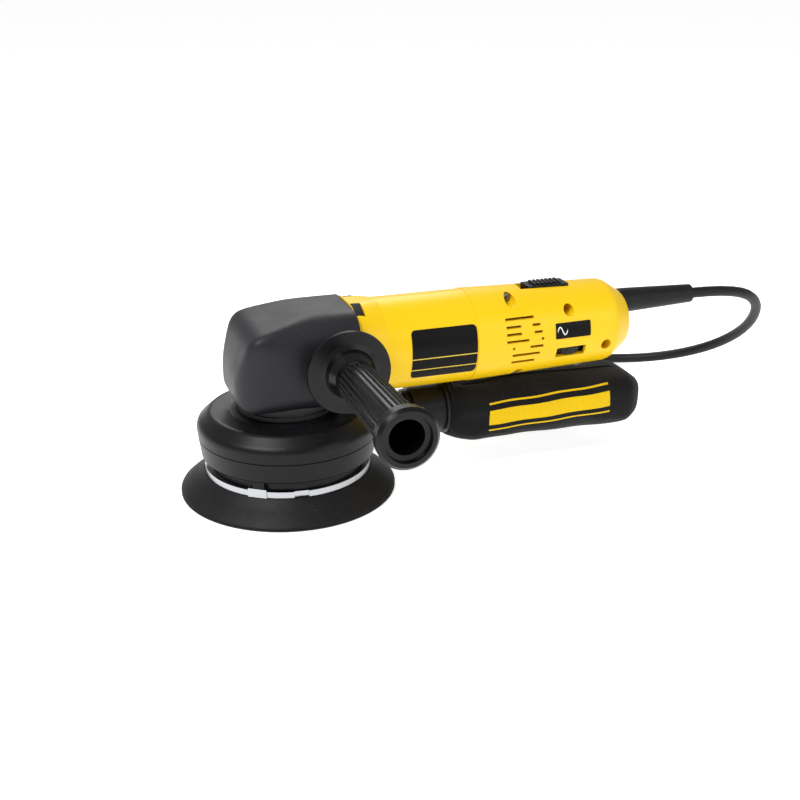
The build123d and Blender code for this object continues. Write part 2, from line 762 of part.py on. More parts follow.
winding_overhang = 6.5
with BuildPart() as stator_windings:
    for x0, x1 in ((stator_x[0] - winding_overhang, stator_x[0]),
                   (stator_x[1], stator_x[1] + winding_overhang)):
        disc_x(x0, x1, case_inner_radius - 0.8)
        disc_x(x0, x1, stator_inner_radius + 0.6, mode=Mode.SUBTRACT)
save(stator_windings.part, "stator_windings")

# ==== rear housing: a clamshell split on the vertical plane through the motor's axis ====
rear_front_radius = 33.1
rear_step_radius = 32.5
rear_step_x = 150.0
rear_taper_x = 237.0
screw_places = ((157.0, 125.0), (199.0, 116.0), (228.5, 88.5), (164.5, 71.0))
screw_bore = 1.6
screw_head_radius = 3.2
recess_radius = 3.9
seat_y = 8.0
screw_tip_y = 13.0
screw_boss_radius = 5.0
switch_travel = 6.0
switch_x = (176.0, 207.0)
switch_half_width = 7.0
switch_gap = 0.4
dial_centre_x = 200.5
dial_angle = radians(-22.0)
dial_radius = 13.5
dial_thickness = 6.0
dial_depth = 17.2
guard_radius = 9.0


def rear_profile(inset):
    """Corners of the rear housing's half profile, as (x, radius), from its front to its tail."""
    return [
        (seam_x, rear_front_radius - inset),
        (rear_step_x, rear_step_radius - inset),
        (rear_taper_x, rear_radius - inset),
        (motor_end_x - 3.5 - inset * 0.8, 20.0 - inset * 0.6),
        (motor_end_x - inset, 9.0 - inset * 0.3),
        (motor_end_x - inset, 0.0),
    ]


def turned_rear(inset):
    """The rear housing's solid of revolution, drawn in by one inset."""
    corners = [(x, motor_z + r) for x, r in rear_profile(inset)]
    with BuildPart() as barrel:
        with BuildSketch(Plane.XZ):
            with BuildLine():
                crown = FilletPolyline(*corners, radius=[30.0, 12.0, 9.0, 5.0])
                Polyline(crown @ 1, (seam_x, motor_z), crown @ 0)
            make_face()
        revolve(axis=MOTOR_AXIS)
    return barrel.part


vent_rows = (
    (30.2, ((149.5, 171.4),)),
    (20.3, ((149.5, 160.8), (169.4, 175.7))),
    (11.3, ((149.5, 161.0), (170.7, 177.1))),
    (2.3, ((149.5, 166.6), (176.1, 178.1))),
    (-6.8, ((154.3, 156.0), (167.7, 177.7))),
    (-16.6, ((154.6, 175.8),)),
    (-27.4, ((154.8, 172.8),)),
)
vent_width = 1.9
dial_pivot_y = -dial_depth * cos(dial_angle)
dial_pivot_z = motor_z + dial_depth * sin(dial_angle)
dial_axis = Vector(0, -sin(dial_angle), -cos(dial_angle))
dial_plane = Plane(origin=(dial_centre_x, dial_pivot_y, dial_pivot_z), x_dir=(1, 0, 0), z_dir=dial_axis)
dial_window = (23.0, 8.2)
rear_outside = turned_rear(0.0)
rear_inside = turned_rear(rear_wall)


def rear_half(side):
    """One half of the rear housing; side is -1 for the handle's side and 1 for the other."""
    with BuildPart() as half:
        add(rear_outside)
        add(rear_inside, mode=Mode.SUBTRACT)
        with BuildPart(mode=Mode.PRIVATE) as inner_walls:
            disc_x(rear_bearing_x[0], rear_bearing_x[1], 29.5)
            disc_x(rear_bearing_x[0] - 1, rear_bearing_x[1] + 1, rear_bearing_radius, mode=Mode.SUBTRACT)
            for turn in (60, 120, 240, 300):
                radius = 20.5
                disc_x(rear_bearing_x[0] - 1, rear_bearing_x[1] + 1, 5.5, radius * cos(radians(turn)),
                       motor_z + radius * sin(radians(turn)), mode=Mode.SUBTRACT)
            block(rear_bearing_x[0] - 1, rear_bearing_x[1] + 1, -40, -13.5, 70, 126, mode=Mode.SUBTRACT)
            block(rear_bearing_x[0] - 1, rear_bearing_x[1] + 1, 13.5, 40, 70, 126, mode=Mode.SUBTRACT)
            for x, z in screw_places:
                disc_y(-40, 40, screw_boss_radius, x, z)
            add(rear_inside, mode=Mode.INTERSECT)
        add(inner_walls.part)
        for x, z in screw_places:
            disc_y(-seat_y, screw_tip_y - 0.1, screw_bore, x, z, mode=Mode.SUBTRACT)
            disc_y(-60, -seat_y, recess_radius, x, z, mode=Mode.SUBTRACT)
        for angle, runs in vent_rows:
            for x0, x1 in runs:
                y = motor_radius * cos(radians(angle))
                z = motor_z + motor_radius * sin(radians(angle))
                block(x0, x1, -y - 6, -y + 7, z - vent_width / 2, z + vent_width / 2, mode=Mode.SUBTRACT)
                block(x0, x1, y - 7, y + 6, z - vent_width / 2, z + vent_width / 2, mode=Mode.SUBTRACT)
        block(switch_x[0] - switch_travel - switch_gap, switch_x[1] + switch_gap,
              -switch_half_width - switch_gap, switch_half_width + switch_gap,
              motor_z + 25.0, motor_z + 40.0, mode=Mode.SUBTRACT)
        with BuildSketch(Plane(origin=(dial_centre_x, -25.0 * cos(dial_angle),
                                       motor_z + 25.0 * sin(dial_angle)),
                               x_dir=(1, 0, 0), z_dir=(0, -cos(dial_angle), sin(dial_angle)))):
            RectangleRounded(*dial_window, 0.6)
        extrude(amount=12, mode=Mode.SUBTRACT)
        disc_x(motor_end_x - 15, motor_end_x + 5, guard_radius + 0.1, 0, cord_z, mode=Mode.SUBTRACT)
        if side < 0:
            block(0, far / 2, 0, far / 4, 0, far / 4, mode=Mode.SUBTRACT)
        else:
            block(0, far / 2, -far / 4, 0, 0, far / 4, mode=Mode.SUBTRACT)
    return half.part


rear_housing_near = rear_half(-1)
save(rear_housing_near, "rear_housing_near")
rear_housing_far = rear_half(1)
save(rear_housing_far, "rear_housing_far")

with BuildPart() as rear_housing_screws:
    for x, z in screw_places:
        disc_y(-seat_y, screw_tip_y - 0.4, screw_bore, x, z)
        disc_y(-seat_y - 2.2, -seat_y, screw_head_radius, x, z)
        disc_y(-seat_y - 2.2, -seat_y - 1.0, 1.3, x, z, mode=Mode.SUBTRACT)
save(rear_housing_screws.part, "rear_housing_screws")

# ==== brushes ====
brush_x = (155.0, 163.0)
brush_half = 3.0
brush_start = commutator_radius + running_gap
holder_start = commutator_radius + 1.6
holder_end = 27.0
brush_length = 11.0
for side, place in ((-1, "near"), (1, "far")):
    with BuildPart() as brush_holder:
        block(brush_x[0] - 1.6, brush_x[1] + 1.6, *sorted((side * holder_start, side * holder_end)),
              motor_z - brush_half - 1.6, motor_z + brush_half + 1.6)
        block(*brush_x, *sorted((side * (holder_start - 1), side * (holder_end - 1.5))),
              motor_z - brush_half, motor_z + brush_half, mode=Mode.SUBTRACT)
    save(brush_holder.part, f"brush_holder_{place}")
    with BuildPart() as carbon_brush:
        block(*brush_x, *sorted((side * (brush_start - 2), side * (brush_start + brush_length))),
              motor_z - brush_half, motor_z + brush_half)
        disc_x(brush_x[0] - 1, brush_x[1] + 1, brush_start, mode=Mode.SUBTRACT)
    save(carbon_brush.part, f"carbon_brush_{place}")

# ==== switch ====
switch_top_z = motor_z + 33.4
switch_floor_z = motor_z + 25.6
ridges = 7
with BuildPart() as switch_button:
    block(*switch_x, -switch_half_width, switch_half_width, switch_floor_z, switch_top_z - 1.4)
    for ridge in range(ridges):
        x = switch_x[0] + 6.0 + ridge * 3.2
        block(x - 0.9, x + 0.9, -switch_half_width + 1.5, switch_half_width - 1.5,
              switch_top_z - 1.4, switch_top_z)
    disc_x(switch_x[0], switch_x[1], motor_radius + 1.4, mode=Mode.INTERSECT)
save(switch_button.part, "switch_button")

switch_block_x = (rear_bearing_x[1] + 1.3, 193.6)
switch_block_half_width = 8.0
switch_block_bottom_z = motor_z + 11.0
with BuildPart() as switch_block:
    block(*switch_block_x, -switch_block_half_width, switch_block_half_width, switch_block_bottom_z,
          switch_floor_z - switch_gap)
save(switch_block.part, "switch_block")

# ==== speed control ====
pivot_radius = 2.0
dial_notches = 24
with BuildPart() as speed_dial:
    with BuildSketch(dial_plane.offset(-dial_thickness / 2)):
        Circle(dial_radius)
        with PolarLocations(dial_radius, dial_notches):
            Circle(0.55, mode=Mode.SUBTRACT)
        Circle(pivot_radius + running_gap, mode=Mode.SUBTRACT)
    extrude(amount=dial_thickness)
save(speed_dial.part, "speed_dial")

module_x = (188.0, 221.0)
module_y = (-13.0, 12.0)
module_z = (75.0, 81.0)
pivot_reach = 9.5
with BuildPart() as speed_module:
    block(*module_x, *module_y, *module_z)
    with BuildSketch(dial_plane.offset(-dial_thickness / 2)):
        Circle(pivot_radius)
    extrude(amount=dial_thickness + pivot_reach)
save(speed_module.part, "speed_module")

# ==== labels ====
label_thickness = 0.35
front_label_x = (80.1, 127.5)
front_label_height = 34.4
front_label_drop = 0.9
with BuildPart() as front_label:
    disc_x(*front_label_x, motor_radius + label_thickness)
    disc_x(*front_label_x, motor_radius, mode=Mode.SUBTRACT)
    with BuildSketch(Plane.XZ):
        with Locations((sum(front_label_x) / 2, motor_z - front_label_drop)):
            RectangleRounded(front_label_x[1] - front_label_x[0], front_label_height, 3.0)
    extrude(amount=60, mode=Mode.INTERSECT)
save(front_label.part, "front_label")

rear_label_x = (187.1, 214.5)
rear_label_height = 11.0
rear_label_rise = 5.0
with BuildPart() as rear_label:
    add(turned_rear(-label_thickness))
    add(rear_outside, mode=Mode.SUBTRACT)
    with BuildSketch(Plane.XZ):
        with Locations((sum(rear_label_x) / 2, motor_z + rear_label_rise)):
            RectangleRounded(rear_label_x[1] - rear_label_x[0], rear_label_height, 0.8)
    extrude(amount=60, mode=Mode.INTERSECT)
save(rear_label.part, "rear_label")

# ==== side handle ====
neck_radius = 12.6
grip_radius = 14.2
grip_bore = 11.0
HANDLE_AXIS = Axis((handle_x, 0, handle_z), (0, 1, 0))
handle_plane = Plane(origin=(handle_x, 0, handle_z), x_dir=(0, -1, 0), z_dir=(1, 0, 0))
with BuildPart() as handle_grip:
    with BuildSketch(handle_plane):
        with BuildLine():
            Polyline(
                (-handle_flange_y, 0),
                (-handle_flange_y, handle_flange_radius - 0.8),
                (-handle_flange_y + 1.0, handle_flange_radius),
                (-handle_flange_y + 2.6, handle_flange_radius - 0.4),
                (-handle_flange_y + 3.4, 20.0),
                (-handle_flange_y + 4.6, 17.0),
                (-handle_flange_y + 9.0, 16.0),
                (-handle_flange_y + 15.0, neck_radius + 0.6),
                (-handle_flange_y + 19.0, neck_radius),
                (-handle_end_y - 12.0, grip_radius),
                (-handle_end_y - 9.0, handle_end_radius - 0.6),
                (-handle_end_y - 2.0, handle_end_radius),
                (-handle_end_y, handle_end_radius - 2.0),
                (-handle_end_y, 14.6),
                (-handle_end_y - 3.5, 14.0),
                (-handle_end_y - 4.0, grip_bore),
                (-handle_end_y - 78.0, grip_bore - 1.5),
                (-handle_end_y - 78.0, 0),
                close=True,
            )
        make_face()
    revolve(axis=HANDLE_AXIS)
    disc_y(handle_flange_y, -78.0, stud_radius, handle_x, handle_z, mode=Mode.SUBTRACT)
save(handle_grip.part, "handle_grip")

with BuildPart() as handle_stud:
    disc_y(-(boss_end_y - boss_hole_depth) - 2.0, -78.0, stud_radius, handle_x, handle_z)
save(handle_stud.part, "handle_stud")

# ==== dust bag ====
cuff_gap = 0.2
cuff_x = (88.0, 122.0)
bag_start_x = 114.0
bag_neck_x = 136.0
with BuildPart() as bag_cuff:
    disc_x(*cuff_x, port_radius + cuff_gap + 2.2, 0, port_z)
    disc_x(112.0, 114.0, port_radius + cuff_gap + 4.4, 0, port_z)
    disc_x(*cuff_x, port_radius + cuff_gap, 0, port_z, mode=Mode.SUBTRACT)
save(bag_cuff.part, "bag_cuff")

bag_height = bag_top_z - bag_bottom_z
bag_mid_z = (bag_top_z + bag_bottom_z) / 2
with BuildPart() as dust_bag:
    with BuildSketch(Plane.YZ.offset(bag_neck_x)):
        with Locations((0, bag_mid_z)):
            RectangleRounded(2 * bag_half_width - 4, bag_height - 2, 16.0)
    with BuildSketch(Plane.YZ.offset(bag_start_x + 1.0)):
        with Locations((0, port_z - 2.5)):
            RectangleRounded(43.0, 42.0, 20.9)
    loft()
    with BuildSketch(Plane.YZ.offset(bag_neck_x)):
        with Locations((0, bag_mid_z)):
            RectangleRounded(2 * bag_half_width - 4, bag_height - 2, 16.0)
    with BuildSketch(Plane.YZ.offset(bag_end_x - 12.0)):
        with Locations((0, bag_mid_z)):
            RectangleRounded(2 * bag_half_width, bag_height, 14.0)
    loft()
    with BuildSketch(Plane.YZ.offset(bag_end_x - 12.0)):
        with Locations((0, bag_mid_z)):
            RectangleRounded(2 * bag_half_width, bag_height, 14.0)
    with BuildSketch(Plane.YZ.offset(bag_end_x)):
        with Locations((0, bag_mid_z)):
            RectangleRounded(2 * bag_half_width - 20, bag_height - 20, 5.0)
    loft()
    disc_x(bag_start_x, cuff_x[1], port_radius + cuff_gap + 2.2, 0, port_z, mode=Mode.SUBTRACT)
save(dust_bag.part, "dust_bag")

# ==== cord, coil and plug ====
with BuildPart() as cord_guard:
    disc_x(motor_end_x - 17, motor_end_x - 15.0, guard_radius + 1.2, 0, cord_z)
    disc_x(motor_end_x - 17, motor_end_x + 2.0, guard_radius, 0, cord_z)
    with Locations(((motor_end_x + 2.0 + guard_end_x) / 2, 0, cord_z)):
        Cone(guard_radius, cord_radius + 2.8, guard_end_x - motor_end_x - 2.0, rotation=(0, 90, 0))
save(cord_guard.part, "cord_guard")

floor_gap = 0.2
cord_low_z = cord_radius + floor_gap
coil_middle_radius = 44.0
coil_radius = coil_middle_radius + cord_radius
coil_centre = (222.0, 118.0)
coil_height = 2 * cord_radius * coil_layers
tail_notch_gap = 1.0
coil_tangent_y = coil_centre[1] + coil_radius
coil_top_z = floor_gap + coil_height - cord_radius
cord_route = [
    (guard_end_x, 0, cord_z),
    (352, 0, cord_z),
    (388, 16, 92),
    (404, 50, 58),
    (398, 92, 28),
    (368, 130, 9),
    (325, 157, cord_low_z),
    (274, coil_tangent_y, cord_low_z),
    (coil_centre[0], coil_tangent_y, cord_low_z),
]
tail_route = [
    (coil_centre[0], coil_tangent_y, coil_top_z),
    (190, coil_tangent_y, coil_top_z),
    (158, 168, 17),
    (126, 170, 9),
    (94, 170, 9),
]


def bend_radii(route):
    """The largest tangent arc that each corner of a route has room for."""
    radii = []
    for before, corner, after in zip(route, route[1:], route[2:]):
        run_in = Vector(*corner) - Vector(*before)
        run_out = Vector(*after) - Vector(*corner)
        half_turn = radians(run_in.get_angle(run_out) / 2)
        radii.append(0.45 * min(run_in.length, run_out.length) / tan(half_turn))
    return radii


def tube(route):
    """A cord's tube along a route of straight runs and tangent arcs."""
    radii = bend_radii(route)
    print("bend radii", [round(radius, 1) for radius in radii])
    with BuildPart() as run:
        with BuildLine():
            path = FilletPolyline(*route, radius=radii)
        with BuildSketch(Plane(origin=path @ 0, z_dir=path % 0)):
            Circle(cord_radius)
        sweep()
    section = pi * cord_radius ** 2
    print("tube volume over section times length", round(run.part.volume / (section * path.length), 4))
    return run.part


cord = tube(cord_route)
save(cord, "cord")
cord_tail = tube(tail_route)
save(cord_tail, "cord_tail")

with BuildPart() as cord_coil:
    disc_z(floor_gap, floor_gap + coil_height, coil_radius + cord_radius, *coil_centre)
    disc_z(floor_gap, floor_gap + coil_height,
           coil_radius + cord_radius - 2 * cord_radius * coil_turns_out, *coil_centre, mode=Mode.SUBTRACT)
    fillet(cord_coil.edges().filter_by(GeomType.CIRCLE), cord_radius - 1.0)
    block(coil_centre[0], far / 2, coil_tangent_y - cord_radius, far / 2, 0, 2 * cord_low_z,
          mode=Mode.SUBTRACT)
    block(0, coil_centre[0], coil_tangent_y - cord_radius, far / 2, coil_top_z - cord_radius - tail_notch_gap,
          far / 4, mode=Mode.SUBTRACT)
save(cord_coil.part, "cord_coil")

plug_size = (34.0, 24.0, 17.0)
plug_x = tail_route[-1][0]
plug_y = tail_route[-1][1]
plug_z = tail_route[-1][2]
with BuildPart() as plug_body:
    with BuildSketch(Plane.YZ.offset(plug_x - plug_size[0])):
        with Locations((plug_y, plug_z)):
            RectangleRounded(plug_size[1], plug_size[2], 4.0)
    with BuildSketch(Plane.YZ.offset(plug_x)):
        with Locations((plug_y, plug_z)):
            RectangleRounded(plug_size[1] - 12, plug_size[2] - 6, 3.5)
    loft()
save(plug_body.part, "plug_body")

blade_pitch = 12.7
blade_length = 17.5
blade_thickness = 1.6
blade_width = 6.4
with BuildPart() as plug_blades:
    with GridLocations(0, blade_pitch, 1, 2):
        with Locations((plug_x - plug_size[0] - blade_length / 2, plug_y, plug_z)):
            Box(blade_length, blade_thickness, blade_width)
save(plug_blades.part, "plug_blades")
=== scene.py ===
# %% [markdown]
# # A dual action polisher, dressed in Blender
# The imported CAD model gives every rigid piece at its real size. This lesson adds what CAD leaves plain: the
# cord, the cloth bag, the foam pad, the soft rubber boot, the grip's beads and a finish for each surface.

from math import cos, pi, radians, sin

import bpy
from mathutils import Matrix, Vector


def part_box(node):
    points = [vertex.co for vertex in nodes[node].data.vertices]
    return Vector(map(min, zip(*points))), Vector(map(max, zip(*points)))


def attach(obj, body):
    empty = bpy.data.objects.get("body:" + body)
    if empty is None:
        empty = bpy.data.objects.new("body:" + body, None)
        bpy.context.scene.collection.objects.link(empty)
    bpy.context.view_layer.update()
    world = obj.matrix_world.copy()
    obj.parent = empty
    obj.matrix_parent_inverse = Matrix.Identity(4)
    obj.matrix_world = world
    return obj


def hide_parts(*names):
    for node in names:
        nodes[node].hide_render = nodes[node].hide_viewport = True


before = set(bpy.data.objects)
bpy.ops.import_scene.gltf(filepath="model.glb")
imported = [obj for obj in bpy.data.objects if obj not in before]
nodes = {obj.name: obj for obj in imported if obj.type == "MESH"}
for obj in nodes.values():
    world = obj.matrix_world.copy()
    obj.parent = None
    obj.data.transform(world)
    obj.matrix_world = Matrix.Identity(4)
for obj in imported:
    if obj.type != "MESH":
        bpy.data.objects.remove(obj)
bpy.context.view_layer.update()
mm = 0.001

# %% [markdown]
# ## Camera
# The tool is looked down on by about 21 degrees, from a little to the left of square on, with a moderate
# lens. A camera can be aimed at an empty or placed by numbers; numbers are used, so the view never shifts.

# %% Camera
camera_data = bpy.data.cameras.new("camera")
camera_data.sensor_width = 36.0
camera_data.lens = 54.476
camera = bpy.data.objects.new("camera", camera_data)
camera.location = (-0.17934, -0.75675, 0.36882)
camera.rotation_euler = (radians(90 - 21.488), 0, radians(-19.075))
bpy.context.scene.collection.objects.link(camera)
bpy.context.scene.camera = camera
bpy.context.scene.view_settings.view_transform = "Standard"
print("camera lens:", camera_data.lens)

# %% [markdown]
# ## Cord
# A polisher's cord is a heavy rubber-jacketed lead. It leaves the guard level, falls under its own weight,
# curls round behind the tool and is wound in a neat coil there, with the plug beside it. One NURBS spline
# through a few listed control points is smooth everywhere, unlike a line joined from arcs.

# %% Cord route
cord_radius = 4.0 * mm
run_out = [
    (312, 0, 110.5), (352, 0, 110.5), (388, 16, 92), (404, 50, 58), (398, 92, 28),
    (368, 130, 9), (325, 157, 4.2), (274, 166, 4.2), (222, 166, 4.2),
]
run_to_plug = [(222, 166, 28.2), (190, 166, 28.2), (158, 168, 17), (126, 170, 9), (94, 170, 9)]
coil_x, coil_y = 222.0, 118.0
outer_turn, inner_turn = 48.0, 40.0
layer_z = [4.2, 12.2, 20.2, 28.2]
per_turn = 16
step_span = 60.0

# %% [markdown]
# The coil has two columns of turns in four layers. The lead changes column on one layer and climbs in the
# next, and each change comes a sixth of a turn earlier than the last, so that no turn runs through another.
# A control point stands a little outside the circle that the spline draws, by the cosine of half a step.

# %% Coil turns
slots = []
for layer, z in enumerate(layer_z):
    pair = [(outer_turn, z), (inner_turn, z)]
    slots += pair if layer % 2 == 0 else pair[::-1]


def coil_place(angle):
    """The (radius, height) of the wound lead after it has turned through an angle, in degrees."""
    here = slots[0]
    for change in range(1, len(slots)):
        end = change * 360.0 - (change - 1) * step_span
        share = min(max((angle - end + step_span) / step_span, 0.0), 1.0)
        share = share * share * (3 - 2 * share)
        if share > 0:
            before, after = slots[change - 1], slots[change]
            here = tuple(b + share * (a - b) for b, a in zip(before, after))
    return here


turned = 7 * per_turn
coil_points = []
for step in range(1, turned):
    angle = 360.0 * step / per_turn
    radius, z = coil_place(angle)
    radius /= cos(pi / per_turn)
    around = radians(90.0 + angle)
    coil_points.append((coil_x + radius * cos(around), coil_y + radius * sin(around), z))
cord_points = [Vector(p) * mm for p in run_out + coil_points + run_to_plug]

cord_curve = bpy.data.curves.new("mains_cord", "CURVE")
cord_curve.dimensions = "3D"
spline = cord_curve.splines.new("NURBS")
spline.points.add(len(cord_points) - 1)
for point, place in zip(spline.points, cord_points):
    point.co = (*place, 1.0)
    point.radius = cord_radius
spline.order_u = 3
spline.use_endpoint_u = True
spline.resolution_u = 5
mains_cord = bpy.data.objects.new("mains_cord", cord_curve)
bpy.context.scene.collection.objects.link(mains_cord)
bare_line = bpy.data.meshes.new_from_object(mains_cord)
cord_curve.bevel_depth = 1.0
cord_curve.bevel_resolution = 4
cord_curve.use_fill_caps = True
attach(mains_cord, "housing")
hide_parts("cord", "cord_coil", "cord_tail")

# %% [markdown]
# ## Finishes: small helpers
# Each finish is a small node tree. These helpers place a node, set its inputs and join it in one line, so
# that a finish reads as a list of what it is made of.

# %% Node helpers
def put(tree, kind, inputs=None, **settings):
    """Add a node. An input that is a socket is joined, and any other value is set."""
    made = tree.nodes.new(kind)
    for name, value in settings.items():
        setattr(made, name, value)
    for name, value in (inputs or {}).items():
        if isinstance(value, bpy.types.NodeSocket):
            tree.links.new(value, made.inputs[name])
        else:
            made.inputs[name].default_value = value
    return made


def maths(tree, operation, first, second=0.0, third=0.0, clamp=False):
    """The output of one Math node."""
    return put(tree, "ShaderNodeMath", {0: first, 1: second, 2: third},
               operation=operation, use_clamp=clamp).outputs[0]


def blended(tree, share, first, second):
    """The output of a colour mix from first to second."""
    made = put(tree, "ShaderNodeMix", {0: share, 6: first, 7: second}, data_type="RGBA")
    return made.outputs[2]


def between(tree, value, low, high, soft):
    """A mask that is 1 where value lies from low to high, with an edge of width soft."""
    rise = put(tree, "ShaderNodeMapRange", {0: value, 1: low - soft, 2: low + soft, 3: 0.0, 4: 1.0})
    fall = put(tree, "ShaderNodeMapRange", {0: value, 1: high - soft, 2: high + soft, 3: 1.0, 4: 0.0})
    return maths(tree, "MULTIPLY", rise.outputs[0], fall.outputs[0])


def new_group(name, inputs, outputs):
    """A node group with named float inputs and outputs, and its input and output nodes."""
    group = bpy.data.node_groups.new(name, "ShaderNodeTree")
    for label, value in inputs:
        group.interface.new_socket(label, in_out="INPUT", socket_type="NodeSocketFloat").default_value = value
    for label in outputs:
        group.interface.new_socket(label, in_out="OUTPUT", socket_type="NodeSocketFloat")
    start = group.nodes.new("NodeGroupInput")
    end = group.nodes.new("NodeGroupOutput")
    return group, start, end


# %% [markdown]
# ## Shared effects
# A moulded surface has a fine spark-eroded grain, slow blotches in its gloss and a few light scuffs. Cloth
# has a weave that repeats every millimetre or so. Dust settles on what faces up. Each is one group, used
# with its own numbers in every finish that needs it.

# %% Moulded grain
moulded_grain, start, end = new_group(
    "moulded_grain", [("Grain Scale", 2400.0), ("Blotch Scale", 28.0), ("Scuff Amount", 0.3)],
    ["Height", "Blotch", "Scuff"])
place = put(moulded_grain, "ShaderNodeTexCoord").outputs["Object"]
fine = put(moulded_grain, "ShaderNodeTexNoise",
           {"Vector": place, "Scale": start.outputs["Grain Scale"], "Detail": 3.0, "Roughness": 0.6})
slow = put(moulded_grain, "ShaderNodeTexNoise",
           {"Vector": place, "Scale": start.outputs["Blotch Scale"], "Detail": 4.0, "Roughness": 0.55})
drawn = put(moulded_grain, "ShaderNodeMapping", {"Vector": place, "Rotation": (0.3, 0.5, 0.7),
                                                 "Scale": (60.0, 900.0, 420.0)})
scratch = put(moulded_grain, "ShaderNodeTexNoise", {"Vector": drawn.outputs[0], "Scale": 1.0, "Detail": 2.0})
thin = put(moulded_grain, "ShaderNodeMapRange", {0: scratch.outputs[0], 1: 0.68, 2: 0.74})
patch = put(moulded_grain, "ShaderNodeMapRange", {0: slow.outputs[0], 1: 0.48, 2: 0.66})
scuff = maths(moulded_grain, "MULTIPLY", thin.outputs[0], patch.outputs[0])
moulded_grain.links.new(fine.outputs[0], end.inputs["Height"])
moulded_grain.links.new(slow.outputs[0], end.inputs["Blotch"])
moulded_grain.links.new(maths(moulded_grain, "MULTIPLY", scuff, start.outputs["Scuff Amount"]),
                        end.inputs["Scuff"])

# %% Settled dust
settled_dust, start, end = new_group("settled_dust", [("Amount", 0.15)], ["Dust"])
place = put(settled_dust, "ShaderNodeTexCoord").outputs["Object"]
facing = put(settled_dust, "ShaderNodeSeparateXYZ",
             {0: put(settled_dust, "ShaderNodeNewGeometry").outputs["Normal"]}).outputs[2]
upward = put(settled_dust, "ShaderNodeMapRange", {0: facing, 1: 0.35, 2: 1.0})
speck = put(settled_dust, "ShaderNodeTexNoise", {"Vector": place, "Scale": 380.0, "Detail": 5.0})
specks = put(settled_dust, "ShaderNodeMapRange", {0: speck.outputs[0], 1: 0.42, 2: 0.72})
dust = maths(settled_dust, "MULTIPLY", upward.outputs[0], specks.outputs[0])
settled_dust.links.new(maths(settled_dust, "MULTIPLY", dust, start.outputs["Amount"]), end.inputs["Dust"])

# %% Cloth weave
cloth_weave, start, end = new_group("cloth_weave", [("Pitch", 0.0011)], ["Height", "Shade"])
place = put(cloth_weave, "ShaderNodeTexCoord").outputs["Object"]
axes = put(cloth_weave, "ShaderNodeSeparateXYZ", {0: place})
across = maths(cloth_weave, "SUBTRACT", axes.outputs[2],
               maths(cloth_weave, "ABSOLUTE", axes.outputs[1]))
threads = []
for run in (axes.outputs[0], across):
    turn = maths(cloth_weave, "DIVIDE", maths(cloth_weave, "MULTIPLY", run, pi), start.outputs["Pitch"])
    threads.append(maths(cloth_weave, "ABSOLUTE", maths(cloth_weave, "SINE", turn)))
over = maths(cloth_weave, "MAXIMUM", threads[0], threads[1])
under = maths(cloth_weave, "MULTIPLY", threads[0], threads[1])
woven = maths(cloth_weave, "ADD", maths(cloth_weave, "MULTIPLY", over, 0.4), under)
fuzz = put(cloth_weave, "ShaderNodeTexNoise",
           {"Vector": place, "Scale": 1500.0, "Detail": 3.0})
cloth_weave.links.new(maths(cloth_weave, "ADD", woven, maths(cloth_weave, "MULTIPLY", fuzz.outputs[0], 0.5)),
                      end.inputs["Height"])
cloth_weave.links.new(maths(cloth_weave, "MULTIPLY", woven, fuzz.outputs[0]), end.inputs["Shade"])
print("effect groups:", [group.name for group in bpy.data.node_groups])


# %% [markdown]
# ## One maker for moulded and metal finishes
# Plastic, rubber and metal differ in colour, gloss and grain, yet are built alike: the base colour drifts a
# little with the blotches, scuffs and dust lighten it, the gloss follows, and the grain is a bump.

# %% Moulded finish maker
def moulded(name, colour, roughness, grain=2400.0, depth=0.00003, scuffs=0.3, drift=0.08, dusty=0.12,
            metal=0.0, coat=0.0, specular=0.5):
    """A moulded plastic, rubber or metal material."""
    material = bpy.data.materials.new(name)
    material.use_nodes = True
    tree = material.node_tree
    shader = tree.nodes["Principled BSDF"]
    surface = put(tree, "ShaderNodeGroup", node_tree=moulded_grain)
    surface.inputs["Grain Scale"].default_value = grain
    surface.inputs["Scuff Amount"].default_value = scuffs
    dirt = put(tree, "ShaderNodeGroup", node_tree=settled_dust)
    dirt.inputs["Amount"].default_value = dusty
    dark = tuple(channel * (1 - drift) for channel in colour)
    light = tuple(min(channel * (1 + drift), 1.0) for channel in colour)
    drifting = blended(tree, surface.outputs["Blotch"], (*dark, 1), (*light, 1))
    pale = tuple(channel + (1 - channel) * 0.10 for channel in colour)
    scuffed = blended(tree, surface.outputs["Scuff"], drifting, (*pale, 1))
    dusted = blended(tree, dirt.outputs["Dust"], scuffed, (0.42, 0.40, 0.37, 1))
    tree.links.new(dusted, shader.inputs["Base Color"])
    gloss = put(tree, "ShaderNodeMapRange", {0: surface.outputs["Blotch"], 1: 0.3, 2: 0.7,
                                             3: roughness - 0.05, 4: roughness + 0.06})
    rougher = maths(tree, "ADD", gloss.outputs[0], maths(tree, "MULTIPLY", surface.outputs["Scuff"], 0.3),
                    clamp=True)
    tree.links.new(rougher, shader.inputs["Roughness"])
    bump = put(tree, "ShaderNodeBump", {"Height": surface.outputs["Height"], "Distance": depth,
                                        "Strength": 1.0})
    tree.links.new(bump.outputs[0], shader.inputs["Normal"])
    shader.inputs["Metallic"].default_value = metal
    shader.inputs["Coat Weight"].default_value = coat
    shader.inputs["Coat Roughness"].default_value = 0.15
    shader.inputs["Specular IOR Level"].default_value = specular
    return material


